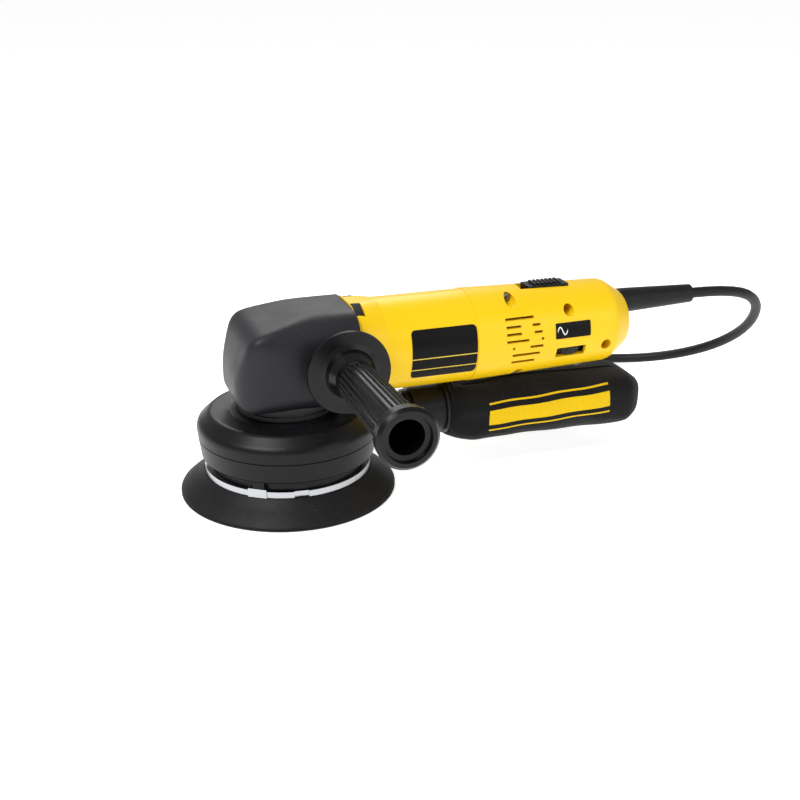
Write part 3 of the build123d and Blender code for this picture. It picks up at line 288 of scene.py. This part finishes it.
# %% Finishes of the tool
yellow_case = moulded("yellow_case", (0.88, 0.56, 0.002), 0.33, 1500.0, 0.00002, 0.25, 0.04, 0.01,
                      coat=0.04, specular=0.3)
black_shell = moulded("black_shell", (0.004, 0.004, 0.005), 0.34, 1900.0, 0.00004, 0.25, 0.15, 0.008,
                      specular=0.22)
boot_rubber = moulded("boot_rubber", (0.012, 0.012, 0.015), 0.46, 1300.0, 0.00006, 0.25, 0.18, 0.012,
                      specular=0.3)
grip_plastic = moulded("grip_plastic", (0.003, 0.003, 0.004), 0.25, 2200.0, 0.00002, 0.25, 0.15, 0.006,
                       specular=0.26)
pad_rubber = moulded("pad_rubber", (0.006, 0.006, 0.007), 0.52, 900.0, 0.00012, 0.3, 0.25, 0.015,
                     specular=0.22)
cord_jacket = moulded("cord_jacket", (0.006, 0.006, 0.007), 0.44, 1700.0, 0.00005, 0.3, 0.15, 0.02,
                      specular=0.24)
plug_rubber = moulded("plug_rubber", (0.008, 0.008, 0.009), 0.42, 1700.0, 0.00004, 0.3, 0.15, 0.02,
                      specular=0.26)
bright_steel = moulded("bright_steel", (0.48, 0.49, 0.51), 0.24, 3200.0, 0.00001, 0.6, 0.06, 0.02, metal=1.0)
dark_steel = moulded("dark_steel", (0.20, 0.20, 0.21), 0.36, 2600.0, 0.00002, 0.5, 0.10, 0.02, metal=1.0)
cast_alloy = moulded("cast_alloy", (0.46, 0.47, 0.48), 0.44, 900.0, 0.00008, 0.4, 0.10, 0.02, metal=1.0)
black_casting = moulded("black_casting", (0.02, 0.02, 0.022), 0.40, 900.0, 0.00008, 0.4, 0.12, 0.05)
laminations = moulded("laminations", (0.33, 0.32, 0.31), 0.46, 1200.0, 0.00004, 0.3, 0.12, 0.0, metal=1.0)
copper = moulded("copper", (0.72, 0.30, 0.14), 0.30, 2000.0, 0.00004, 0.3, 0.15, 0.0, metal=1.0)
brass = moulded("brass", (0.72, 0.53, 0.22), 0.28, 2600.0, 0.00001, 0.5, 0.08, 0.0, metal=1.0)
bronze = moulded("bronze", (0.50, 0.32, 0.16), 0.38, 1200.0, 0.00004, 0.4, 0.10, 0.0, metal=1.0)
carbon = moulded("carbon", (0.03, 0.03, 0.03), 0.50, 1600.0, 0.00006, 0.3, 0.20, 0.0)
grey_plastic = moulded("grey_plastic", (0.16, 0.16, 0.17), 0.45, 1800.0, 0.00003, 0.2, 0.08, 0.0)
wheel_plastic = moulded("wheel_plastic", (0.007, 0.007, 0.008), 0.38, 2000.0, 0.00003, 0.3, 0.15, 0.01,
                        specular=0.26)
label_film = moulded("label_film", (0.003, 0.003, 0.003), 0.30, 3000.0, 0.000006, 0.3, 0.15, 0.004,
                     specular=0.12)
sign_film = moulded("sign_film", (0.003, 0.003, 0.003), 0.30, 3000.0, 0.000006, 0.3, 0.15, 0.004,
                    specular=0.12)
print("finishes:", len(bpy.data.materials))


# %% [markdown]
# ## Marks on the labels
# The front label carries two thin pale rules. The rear one carries a plain sine wave, the usual sign for an
# electronically controlled motor. Both could be cut as geometry, but they are ink: a mask on the label's
# own coordinates gives a clean edge at no cost. No words are printed.

# %% Label marks
def object_axes(tree):
    """The piece's own x, y and z, as three sockets."""
    return put(tree, "ShaderNodeSeparateXYZ", {0: put(tree, "ShaderNodeTexCoord").outputs["Object"]}).outputs


def ink(material, mask, colour):
    """Lay a colour over the base colour of a finished material where mask is 1."""
    tree = material.node_tree
    socket = tree.nodes["Principled BSDF"].inputs["Base Color"]
    under = socket.links[0].from_socket
    tree.links.new(blended(tree, mask, under, (*colour, 1)), socket)


low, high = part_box("front_label")
label_height = high.z - low.z
tree = label_film.node_tree
axes = object_axes(tree)
rules = None
for share in (0.57, 0.81):
    z = high.z - share * label_height
    rule = between(tree, axes[2], z - 0.35 * mm, z + 0.35 * mm, 0.08 * mm)
    rules = rule if rules is None else maths(tree, "MAXIMUM", rules, rule)
ink(label_film, rules, (0.75, 0.55, 0.08))

low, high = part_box("rear_label")
middle = (low + high) / 2
tree = sign_film.node_tree
axes = object_axes(tree)
wave_x, wave_half, wave_rise = low.x + 5.2 * mm, 3.9 * mm, 2.7 * mm
swing = maths(tree, "MULTIPLY", maths(tree, "SUBTRACT", axes[0], wave_x), pi / wave_half)
height = maths(tree, "MULTIPLY", maths(tree, "SINE", swing), -wave_rise)
slope = maths(tree, "MULTIPLY", maths(tree, "COSINE", swing), -wave_rise * pi / wave_half)
steep = maths(tree, "SQRT", maths(tree, "ADD", maths(tree, "MULTIPLY", slope, slope), 1.0))
above = maths(tree, "SUBTRACT", maths(tree, "SUBTRACT", axes[2], middle.z), height)
away = maths(tree, "DIVIDE", above, steep)
wave = between(tree, away, -0.42 * mm, 0.42 * mm, 0.08 * mm)
wave = maths(tree, "MULTIPLY", wave, between(tree, axes[0], wave_x - wave_half, wave_x + wave_half, 0.1 * mm))
ink(sign_film, wave, (0.80, 0.80, 0.76))
print("label marks laid on", label_film.name, "and", sign_film.name)

# %% [markdown]
# ## Dress the CAD nodes
# Every node keeps its mesh and is given the finish of the real material.

# %% Assign the finishes
dress = {
    yellow_case: ["motor_case", "rear_housing_near", "rear_housing_far"],
    boot_rubber: ["rubber_boot"],
    black_shell: ["shroud_upper", "shroud_lower", "brake_ring", "exhaust_port", "bag_cuff", "switch_button"],
    black_casting: ["gear_case", "bearing_plate"],
    grip_plastic: ["handle_grip"],
    pad_rubber: ["pad_foam", "hook_face", "dust_bag"],
    cord_jacket: ["cord", "cord_coil", "cord_tail", "cord_guard"],
    plug_rubber: ["plug_body"],
    bright_steel: ["pad_plate"],
    dark_steel: ["bearing_plate_screws", "motor_case_screws", "rear_housing_screws", "handle_stud",
                 "armature_shaft", "spindle", "bevel_gear", "bevel_pinion", "pad_arbor", "pad_screws",
                 "pad_bearing_outer", "pad_bearing_inner", "spindle_bearing_outer", "spindle_bearing_inner",
                 "front_bearing_outer", "front_bearing_inner", "rear_bearing_outer", "rear_bearing_inner"],
    cast_alloy: ["counterweight", "dust_fan"],
    laminations: ["stator_core", "armature_core"],
    copper: ["stator_windings", "armature_windings", "commutator"],
    brass: ["plug_blades", "brush_holder_near", "brush_holder_far"],
    bronze: ["spindle_bush"],
    carbon: ["carbon_brush_near", "carbon_brush_far"],
    grey_plastic: ["switch_block", "speed_module", "fan_baffle", "cooling_fan"],
    wheel_plastic: ["speed_dial"],
    label_film: ["front_label"],
    sign_film: ["rear_label"],
}
for material, names in dress.items():
    for name in names:
        nodes[name].data.materials.clear()
        nodes[name].data.materials.append(material)
mains_cord.data.materials.append(cord_jacket)
bare = sorted(set(nodes) - {name for names in dress.values() for name in names})
print("nodes dressed:", len(nodes) - len(bare), "left bare:", bare)

# %% [markdown]
# ## Working as by hand
# Each new piece starts as a primitive, is shaped in edit mode and finished with modifiers. The helpers below
# select a piece, apply modifiers, and fix a piece's place in its mesh, so its object rests at the origin.

# %% Modelling helpers
def start_piece():
    """Leave edit mode and deselect everything, so that an operator acts on the new piece alone."""
    if bpy.context.object and bpy.context.object.mode != "OBJECT":
        bpy.ops.object.mode_set(mode="OBJECT")
    bpy.ops.object.select_all(action="DESELECT")


def name_piece(name, material):
    """Name the piece in hand and give it its finish."""
    made = bpy.context.object
    made.name = name
    made.data.name = name
    made.data.materials.clear()
    made.data.materials.append(material)
    return made


def pick(made):
    """Select one piece alone and make it active."""
    start_piece()
    made.select_set(True)
    bpy.context.view_layer.objects.active = made


def settle(made):
    """Put the object's place, turn and size into its mesh."""
    pick(made)
    bpy.ops.object.transform_apply(location=True, rotation=True, scale=True)


def modify(made, kind, **settings):
    """Add a modifier with its settings and apply it at once."""
    pick(made)
    modifier = made.modifiers.new(kind.lower(), kind)
    for name, value in settings.items():
        setattr(modifier, name, value)
    bpy.ops.object.modifier_apply(modifier=modifier.name)


def smooth(made, degrees_kept=35.0):
    """Smooth shading, with edges sharper than an angle kept crisp."""
    pick(made)
    bpy.ops.object.shade_smooth_by_angle(angle=radians(degrees_kept))


def outward(made):
    """Merge doubles and turn every face outwards."""
    pick(made)
    bpy.ops.object.mode_set(mode="EDIT")
    bpy.ops.mesh.select_all(action="SELECT")
    bpy.ops.mesh.remove_doubles(threshold=1e-6)
    bpy.ops.mesh.normals_make_consistent(inside=False)
    bpy.ops.object.mode_set(mode="OBJECT")


def copy_of(node, name, material):
    """A merged copy of a CAD node's mesh, as a new piece."""
    start_piece()
    made = bpy.data.objects.new(name, nodes[node].data.copy())
    bpy.context.scene.collection.objects.link(made)
    for key in list(made.keys()):
        del made[key]
    pick(made)
    bpy.ops.object.mode_set(mode="EDIT")
    bpy.ops.mesh.select_all(action="SELECT")
    bpy.ops.mesh.remove_doubles(threshold=1e-6)
    bpy.ops.object.mode_set(mode="OBJECT")
    return name_piece(name, material)


def turned(name, material, rings, steps=128):
    """A closed turned piece: a circle extruded and resized through (radius, height) rings in millimetres."""
    start_piece()
    radius, height = rings[0]
    bpy.ops.mesh.primitive_circle_add(vertices=steps, radius=radius * mm, fill_type="NGON",
                                      location=(0, 0, height * mm))
    made = name_piece(name, material)
    bpy.ops.object.mode_set(mode="EDIT")
    bpy.ops.mesh.select_all(action="SELECT")
    for next_radius, next_height in rings[1:]:
        bpy.ops.mesh.extrude_region_move(
            TRANSFORM_OT_translate={"value": (0, 0, (next_height - height) * mm)})
        grow = next_radius / radius
        bpy.ops.transform.resize(value=(grow, grow, 1))
        radius, height = next_radius, next_height
    bpy.ops.object.mode_set(mode="OBJECT")
    settle(made)
    outward(made)
    return made


def take_out(made, cutters):
    """Cut holes with a list of cutter pieces, which are then removed."""
    for cutter in cutters:
        modify(made, "BOOLEAN", operation="DIFFERENCE", object=cutter, solver="EXACT")
        bpy.data.objects.remove(cutter)


def upright_bar(radius, x, y, low_z, high_z, steps=32):
    """A plain bar that is used to cut a round hole."""
    start_piece()
    bpy.ops.mesh.primitive_cylinder_add(vertices=steps, radius=radius * mm, depth=(high_z - low_z) * mm,
                                        location=(x * mm, y * mm, (low_z + high_z) / 2 * mm))
    cutter = bpy.context.object
    settle(cutter)
    return cutter


# %% [markdown]
# ## Rubber boot
# The boot is a thick soft skin moulded to the gear case, so none of its edges is sharp. The CAD block has
# the right planes but meets them in creases. A copy of it is wrapped in its convex hull, filled with even
# quads by a voxel remesh, and relaxed until the planes run into each other; the back is then cut open, a
# wall is given, and the hole for the collar is cut.

# %% Soft boot
boot_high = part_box("rubber_boot")[1]
soft_boot = copy_of("rubber_boot", "soft_boot", boot_rubber)
bpy.ops.object.mode_set(mode="EDIT")
bpy.ops.mesh.select_all(action="SELECT")
bpy.ops.mesh.convex_hull()
bpy.ops.mesh.select_all(action="DESELECT")
bpy.ops.object.mode_set(mode="OBJECT")
for corner in soft_boot.data.vertices:
    if corner.co.x > boot_high.x - 1 * mm:
        corner.co.x += 12 * mm
modify(soft_boot, "REMESH", mode="VOXEL", voxel_size=1.3 * mm)
modify(soft_boot, "SMOOTH", factor=0.5, iterations=60)
bpy.ops.object.mode_set(mode="EDIT")
bpy.ops.mesh.select_all(action="SELECT")
bpy.ops.mesh.bisect(plane_co=(boot_high.x, 0, 0), plane_no=(1, 0, 0), clear_outer=True)
bpy.ops.object.mode_set(mode="OBJECT")
modify(soft_boot, "SOLIDIFY", thickness=2.0 * mm, offset=-1.0)
collar_low, collar_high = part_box("bearing_plate")
take_out(soft_boot, [upright_bar((collar_high.x - collar_low.x) * 500 - 1.5, 0, 0, 60, 76, 96)])
smooth(soft_boot, 50.0)
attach(soft_boot, "housing")
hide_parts("rubber_boot")
print("boot faces:", len(soft_boot.data.polygons))

# %% [markdown]
# The boot's four rubber lugs fill the pockets over the flange screws and keep the boot from sliding off.
# One lug is modelled as a bevelled block and copied round the flange.

# %% Boot lugs
motor_z = 98.0
pocket_x, pocket_long, pocket_wide = 47.1, 6.3, 13.8
lug_number = 0
for side in (-1, 1):
    for level in (-1, 1):
        lean = -18.0 if side * level < 0 else 18.0
        around = radians((135.0 if side < 0 else 45.0) * level + lean)
        start_piece()
        bpy.ops.mesh.primitive_cube_add(size=1.0)
        lug = name_piece(f"boot_lug_{lug_number}", boot_rubber)
        lug.scale = (pocket_long * mm, 2.6 * mm, pocket_wide * mm)
        lug.location = (pocket_x * mm, cos(around) * 33.0 * mm, (motor_z + sin(around) * 33.0) * mm)
        lug.rotation_euler = (around, 0, 0)
        settle(lug)
        modify(lug, "BEVEL", width=0.6 * mm, segments=3)
        smooth(lug)
        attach(lug, "housing")
        lug_number += 1
print("boot lugs:", lug_number)

# %% [markdown]
# ## Grip
# The side handle's tube is covered with rows of small raised beads, which let a gloved hand hold it. One
# bead is modelled, an array sets out one row along the slightly flared tube, and copies of the row are
# turned about the handle's axis.

# %% Grip beads
handle_x, handle_z = 29.8, 98.6
first_y, last_y = -73.0, -153.5
first_radius, last_radius = 12.72, 14.12
beads_in_row, rows = 30, 26
bead_step = (last_y - first_y) / (beads_in_row - 1)
start_piece()
bpy.ops.mesh.primitive_cube_add(size=1.0)
bead_row = name_piece("grip_beads", grip_plastic)
bead_row.scale = (1.7 * mm, 1.7 * mm, 1.6 * mm)
settle(bead_row)
modify(bead_row, "BEVEL", width=0.5 * mm, segments=1)
modify(bead_row, "ARRAY", count=beads_in_row, use_relative_offset=False, use_constant_offset=True,
       constant_offset_displace=(0, bead_step * mm, (last_radius - first_radius) * mm / (beads_in_row - 1)))
for corner in bead_row.data.vertices:
    corner.co += Vector((0, first_y * mm, first_radius * mm))
row_copies = [bead_row]
for row in range(1, rows):
    turned_row = bpy.data.objects.new(f"row_{row}", bead_row.data.copy())
    turned_row.data.transform(Matrix.Rotation(2 * pi * row / rows, 4, "Y"))
    bpy.context.scene.collection.objects.link(turned_row)
    row_copies.append(turned_row)
start_piece()
for made in row_copies:
    made.select_set(True)
bpy.context.view_layer.objects.active = bead_row
bpy.ops.object.join()
bead_row.location = (handle_x * mm, 0, handle_z * mm)
settle(bead_row)
smooth(bead_row, 50.0)
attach(bead_row, "housing")
print("beads:", beads_in_row * rows, "faces:", len(bead_row.data.polygons))

# %% [markdown]
# ## Foam pad and hook face
# The backing pad is a cone of dense foam with a soft rolled lip, and its face is covered with short hooks
# that hold the polishing disc. Both are turned from rings about the pad's own axis, which stands 2.4 mm
# off the spindle's, and share the six dust holes and three screw holes.

# %% Foam pad
pad_low, pad_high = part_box("pad_foam")
pad_x, pad_y = 500 * (pad_low.x + pad_high.x), 500 * (pad_low.y + pad_high.y)
pad_radius = 500 * (pad_high.x - pad_low.x)
foam_low, foam_high = pad_low.z * 1000, pad_high.z * 1000
foam_top = 58.0


def pad_cutters():
    """Bars for the six dust holes and the three screw holes."""
    bars = []
    for hole in range(6):
        around = radians(30 + 60 * hole)
        bars.append(upright_bar(5.0, pad_x + 40 * cos(around), pad_y + 40 * sin(around), -2, 20, 24))
    for hole in range(3):
        around = radians(120 * hole)
        bars.append(upright_bar(4.8, pad_x + 12 * cos(around), pad_y + 12 * sin(around), -2, 20, 24))
    return bars


foam_pad = turned("foam_pad", pad_rubber, [
    (pad_radius - 0.9, foam_low), (pad_radius - 0.3, foam_low + 0.25), (pad_radius - 0.02, foam_low + 0.7),
    (pad_radius - 0.35, foam_low + 1.35), (pad_radius - 1.4, foam_low + 2.3),
    (pad_radius - 4.6, foam_low + 5.0), (pad_radius - 8.8, foam_low + 8.2),
    (foam_top + 2.2, foam_high - 2.6), (foam_top + 0.7, foam_high - 0.7),
    (foam_top, foam_high - 0.1), (foam_top - 0.8, foam_high - 0.02)], 160)
foam_pad.location = (pad_x * mm, pad_y * mm, 0)
settle(foam_pad)
take_out(foam_pad, pad_cutters())
smooth(foam_pad, 40.0)
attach(foam_pad, "pad")
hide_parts("pad_foam")

hook_pile = moulded("hook_pile", (0.020, 0.020, 0.022), 0.85, 2600.0, 0.0004, 0.0, 0.30, 0.0, specular=0.25)
hook_disc = turned("hook_disc", hook_pile, [
    (pad_radius - 0.5, 0.03), (pad_radius - 0.05, 0.35), (pad_radius - 0.15, foam_low - 0.25),
    (pad_radius - 0.6, foam_low - 0.02)], 160)
hook_disc.location = (pad_x * mm, pad_y * mm, 0)
settle(hook_disc)
take_out(hook_disc, pad_cutters())
smooth(hook_disc, 40.0)
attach(hook_disc, "pad")
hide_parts("hook_face")
print("pad radius:", round(pad_radius, 2), "foam from", round(foam_low, 2), "to", round(foam_high, 2))

# %% [markdown]
# ## Dust bag
# The bag is woven cloth, closed at the back and gathered by an elastic hem onto the cuff. Its CAD solid is
# a plain loft. A copy, drawn in a little, is remeshed in small even quads and blown up by a cloth
# simulation with pressure and no gravity, while the hem is pinned. The cloth then creases as real cloth
# does. How far a point may move is capped, so that the bag stays in the space of its solid.

# %% Bag cloth
bag_cloth = moulded("bag_cloth", (0.004, 0.004, 0.005), 0.74, 1200.0, 0.0001, 0.0, 0.25, 0.008, specular=0.1)
tree = bag_cloth.node_tree
shader = tree.nodes["Principled BSDF"]
shader.inputs["Sheen Weight"].default_value = 0.12
shader.inputs["Sheen Roughness"].default_value = 0.45
weave = put(tree, "ShaderNodeGroup", node_tree=cloth_weave)
weave_bump = put(tree, "ShaderNodeBump", {"Height": weave.outputs["Height"], "Distance": 0.00022,
                                          "Strength": 0.9,
                                          "Normal": shader.inputs["Normal"].links[0].from_socket})
tree.links.new(weave_bump.outputs[0], shader.inputs["Normal"])
ink(bag_cloth, maths(tree, "MULTIPLY", weave.outputs["Shade"], 0.35), (0.016, 0.016, 0.019))

bag_low, bag_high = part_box("dust_bag")
bag_middle = (bag_low + bag_high) / 2
hem_x = bag_low.x + 9 * mm
cloth_bag = copy_of("dust_bag", "cloth_bag", bag_cloth)
modify(cloth_bag, "REMESH", mode="VOXEL", voxel_size=3.6 * mm)
for corner in cloth_bag.data.vertices:
    free = min(max((corner.co.x - hem_x) / (14 * mm), 0.0), 1.0)
    for axis in (1, 2):
        corner.co[axis] = bag_middle[axis] + (corner.co[axis] - bag_middle[axis]) * (1 - 0.085 * free)
    corner.co.x = min(corner.co.x, bag_high.x - 3.5 * mm)
resting = [corner.co.copy() for corner in cloth_bag.data.vertices]
hem = cloth_bag.vertex_groups.new(name="hem")
hem.add([corner.index for corner in cloth_bag.data.vertices if corner.co.x < hem_x], 1.0, "REPLACE")
pick(cloth_bag)
cloth = cloth_bag.modifiers.new("cloth", "CLOTH")
cloth.settings.use_pressure = True
cloth.settings.uniform_pressure_force = 4.0
cloth.settings.effector_weights.gravity = 0.0
cloth.settings.quality = 6
cloth.settings.tension_stiffness = 30.0
cloth.settings.compression_stiffness = 30.0
cloth.settings.bending_stiffness = 0.8
cloth.settings.vertex_group_mass = "hem"
cloth.point_cache.frame_start = 1
cloth.point_cache.frame_end = 20
for frame_number in range(1, 21):
    bpy.context.scene.frame_set(frame_number)
bpy.ops.object.modifier_apply(modifier=cloth.name)
bpy.context.scene.frame_set(1)
furthest = 0.0
for corner, before in zip(cloth_bag.data.vertices, resting):
    moved = corner.co - before
    if moved.length > 6 * mm:
        moved *= 6 * mm / moved.length
    furthest = max(furthest, moved.length)
    corner.co = before + moved
print("bag cloth moved up to", round(furthest * 1000, 2), "mm over", len(resting), "points")

# %% [markdown]
# Slack cloth gathers into lengthwise folds beside the elastic hem and sags between its ends. The folds are
# ripples round the neck that fade out along the bag; the sag is a slow dip along its top.

# %% Bag folds
neck_y, neck_z = 0.0, 45.0 * mm
for corner in cloth_bag.data.vertices:
    along = (corner.co.x - bag_low.x) / (bag_high.x - bag_low.x)
    out = Vector((0, corner.co.y - neck_y, corner.co.z - neck_z))
    if out.length < 1 * mm:
        continue
    turn = 11 * (1.6 + corner.co.y / (30 * mm)) * 0.7 + 5 * corner.co.z / (18 * mm)
    fade = max(0.0, 1 - abs(along - 0.11) / 0.15)
    corner.co += out.normalized() * (sin(turn) * 1.5 * mm * fade * fade * (3 - 2 * fade))
    top = max(0.0, (corner.co.z - bag_middle.z) / (bag_high.z - bag_middle.z))
    corner.co.z -= top * (3.4 * mm * along ** 2 + 1.1 * mm * (1 + sin(11 * along + 60 * corner.co.y)) / 2)
    low_side = max(0.0, (bag_middle.z - corner.co.z) / (bag_middle.z - bag_low.z))
    corner.co.z += low_side * 1.6 * mm * max(0.0, 1 - along * 4) ** 2
    corner.co.y += 0.8 * mm * sin(23 * along + 90 * corner.co.z) * (1 if corner.co.y > 0 else -1) * (1 - fade)
modify(cloth_bag, "SMOOTH", factor=0.4, iterations=3)
modify(cloth_bag, "SUBSURF", levels=1, render_levels=1)
room_low = bag_low - Vector((0, 3, 1)) * mm
room_high = bag_high + Vector((3, 3, 1)) * mm
for corner in cloth_bag.data.vertices:
    for axis, (low, high) in enumerate(zip(room_low, room_high)):
        corner.co[axis] = min(max(corner.co[axis], low), high)
smooth(cloth_bag, 80.0)

# %% [markdown]
# The near side carries a plain printed band between two thin lines, in the tool's yellow. It is ink on
# cloth, so it is a mask on the bag's own coordinates, worn through a little where the weave stands up.

# %% Bag print
tree = bag_cloth.node_tree
axes = object_axes(tree)
tilt = maths(tree, "SUBTRACT", axes[2], maths(tree, "MULTIPLY", axes[0], 0.038))
print_start, print_end = bag_low.x + 27 * mm, bag_high.x - 31 * mm
bands = None
for low, high in ((24.9, 26.1), (29.6, 40.8), (44.9, 46.1)):
    band = between(tree, tilt, low * mm, high * mm, 0.12 * mm)
    bands = band if bands is None else maths(tree, "MAXIMUM", bands, band)
long_lines = between(tree, axes[0], print_start, print_end, 0.15 * mm)
near_side = between(tree, axes[1], -1.0, -15 * mm, 0.2 * mm)
printed = maths(tree, "MULTIPLY", maths(tree, "MULTIPLY", bands, long_lines), near_side)
worn = put(tree, "ShaderNodeMapRange", {0: weave.outputs["Shade"], 1: 0.05, 2: 0.30, 3: 0.72, 4: 1.0})
ink(bag_cloth, maths(tree, "MULTIPLY", printed, worn.outputs[0]), (0.86, 0.56, 0.005))
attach(cloth_bag, "bag")
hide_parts("dust_bag")
print("bag faces:", len(cloth_bag.data.polygons))

# %% [markdown]
# ## Bag seam and elastic hem
# The bag is folded from one panel and joined by a piped seam along its underside, round its back and along
# its top. The seam follows the cloth: its points are drawn onto it. The elastic hem is a ribbed edge on a
# solid turned piece, so it closes the cuff's bore, where a real hem is an open ring. It stays low enough to
# pass under the housing when the bag is pulled off.

# %% Hem ring
hem_middle_x, port_axis_z = 118.2, 45.0
hem_profile = [
    (17.2, -2.6), (18.7, -2.5), (19.4, -1.9), (18.8, -1.1), (19.5, -0.4),
    (18.8, 0.4), (19.5, 1.2), (18.7, 1.9), (18.2, 2.5), (17.2, 2.6),
]
hem_ring = turned("hem_ring", bag_cloth, hem_profile, 96)
for corner in hem_ring.data.vertices:
    corner.co = Vector((hem_middle_x * mm + corner.co.z, corner.co.y, port_axis_z * mm + corner.co.x))
outward(hem_ring)
smooth(hem_ring, 50.0)
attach(hem_ring, "bag")

# %% Bag seam
seam_curve = bpy.data.curves.new("bag_seam", "CURVE")
seam_curve.dimensions = "3D"
seam = seam_curve.splines.new("NURBS")
seam_places = [(x, 0, 0) for x in (130, 142, 155, 172, 190, 208, 226, 242, 255)]
seam_places += [(300, 0, z) for z in (26, 33, 42, 50, 56)]
seam_places += [(x, 0, 90) for x in (255, 242, 226, 208, 190, 172, 155, 142, 130)]
seam.points.add(len(seam_places) - 1)
for point, aim in zip(seam.points, seam_places):
    aim = Vector(aim) * mm
    where, normal = cloth_bag.closest_point_on_mesh(aim)[1:3]
    where = where + normal * 0.1 * mm
    point.co = (*where, 1.0)
seam.order_u = 3
seam.use_endpoint_u = True
seam.resolution_u = 6
seam_curve.bevel_depth = 0.9 * mm
seam_curve.bevel_resolution = 3
seam_curve.use_fill_caps = True
bag_seam = bpy.data.objects.new("bag_seam", seam_curve)
bpy.context.scene.collection.objects.link(bag_seam)
bag_seam.data.materials.append(bag_cloth)
pick(bag_seam)
bpy.ops.object.convert(target="MESH")
bag_seam = bpy.context.object
smooth(bag_seam, 60.0)
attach(bag_seam, "bag")
print("seam points:", len(seam_places))

# %% [markdown]
# ## Coil strap
# The wound cord is held by two hook-and-loop straps. Each is a rounded band round the coil's section.

# %% Straps
strap_middle_z = 17.1
strap_cloth = moulded("strap_cloth", (0.02, 0.02, 0.021), 0.85, 2600.0, 0.0002, 0.0, 0.25, 0.0)
coil_middle = (outer_turn + inner_turn) / 2
for number, angle in enumerate((200.0, 340.0)):
    start_piece()
    bpy.ops.mesh.primitive_cube_add(size=1.0)
    strap = name_piece(f"coil_strap_{number}", strap_cloth)
    strap.scale = (18.6 * mm, 13.0 * mm, 33.8 * mm)
    settle(strap)
    pick(strap)
    bpy.ops.object.mode_set(mode="EDIT")
    bpy.ops.mesh.select_all(action="SELECT")
    bpy.ops.mesh.bevel(offset=3.6 * mm, segments=5, affect="EDGES")
    bpy.ops.object.mode_set(mode="OBJECT")
    strap.data.transform(Matrix.Rotation(radians(angle), 4, "Z"))
    turn = radians(angle)
    middle = Vector((coil_x + coil_middle * cos(turn), coil_y + coil_middle * sin(turn), strap_middle_z))
    strap.data.transform(Matrix.Translation(middle * mm))
    smooth(strap)
    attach(strap, "housing")
print("straps: 2")

# %% [markdown]
# ## Floor and light
# A pale floor and three large soft lamps, as in a product studio: one high at the left for the long soft
# highlight, one wide fill from the front right and one behind to lift the edges. The backdrop is seen white,
# and lights the tool less than it shows, so that black plastic stays black.

# %% Floor and lamps
bpy.ops.object.select_all(action="DESELECT")
bpy.ops.mesh.primitive_plane_add(size=80.0, location=(0, 0, -0.0002))
floor = bpy.context.object
floor.name = "floor"
bpy.ops.object.transform_apply(location=True, rotation=True, scale=True)
floor_paint = bpy.data.materials.new("floor_paint")
floor_paint.use_nodes = True
tree = floor_paint.node_tree
mottle = put(tree, "ShaderNodeTexNoise", {"Vector": put(tree, "ShaderNodeTexCoord").outputs["Object"],
                                          "Scale": 6.0, "Detail": 3.0})
tree.links.new(blended(tree, mottle.outputs[0], (0.86, 0.86, 0.86, 1), (0.90, 0.90, 0.90, 1)),
               tree.nodes["Principled BSDF"].inputs["Base Color"])
tree.nodes["Principled BSDF"].inputs["Roughness"].default_value = 0.7
tree.nodes["Principled BSDF"].inputs["Emission Color"].default_value = (1, 1, 1, 1)
tree.nodes["Principled BSDF"].inputs["Emission Strength"].default_value = 0.60
floor.data.materials.append(floor_paint)


def lamp(name, place, target, size, power):
    """A square area lamp at one place, turned to face another."""
    data = bpy.data.lights.new(name, "AREA")
    data.size = size
    data.energy = power
    made = bpy.data.objects.new(name, data)
    made.location = place
    made.rotation_euler = (Vector(target) - Vector(place)).to_track_quat("-Z", "Y").to_euler()
    bpy.context.scene.collection.objects.link(made)


lamp("key_lamp", (-0.8, -0.5, 1.4), (0.1, 0, 0.05), 0.9, 22.0)
lamp("fill_lamp", (1.3, -1.5, 0.8), (0.1, 0, 0.05), 1.2, 7.0)
lamp("back_lamp", (0.3, 1.4, 1.2), (0.1, 0, 0.05), 1.0, 10.0)
world = bpy.data.worlds.new("studio")
bpy.context.scene.world = world
world.use_nodes = True
backdrop = world.node_tree.nodes["Background"]
backdrop.inputs[0].default_value = (1, 1, 1, 1)
seen = put(world.node_tree, "ShaderNodeLightPath").outputs["Is Camera Ray"]
bright = put(world.node_tree, "ShaderNodeMapRange", {0: seen, 1: 0.0, 2: 1.0, 3: 0.42, 4: 1.0})
world.node_tree.links.new(bright.outputs[0], backdrop.inputs[1])
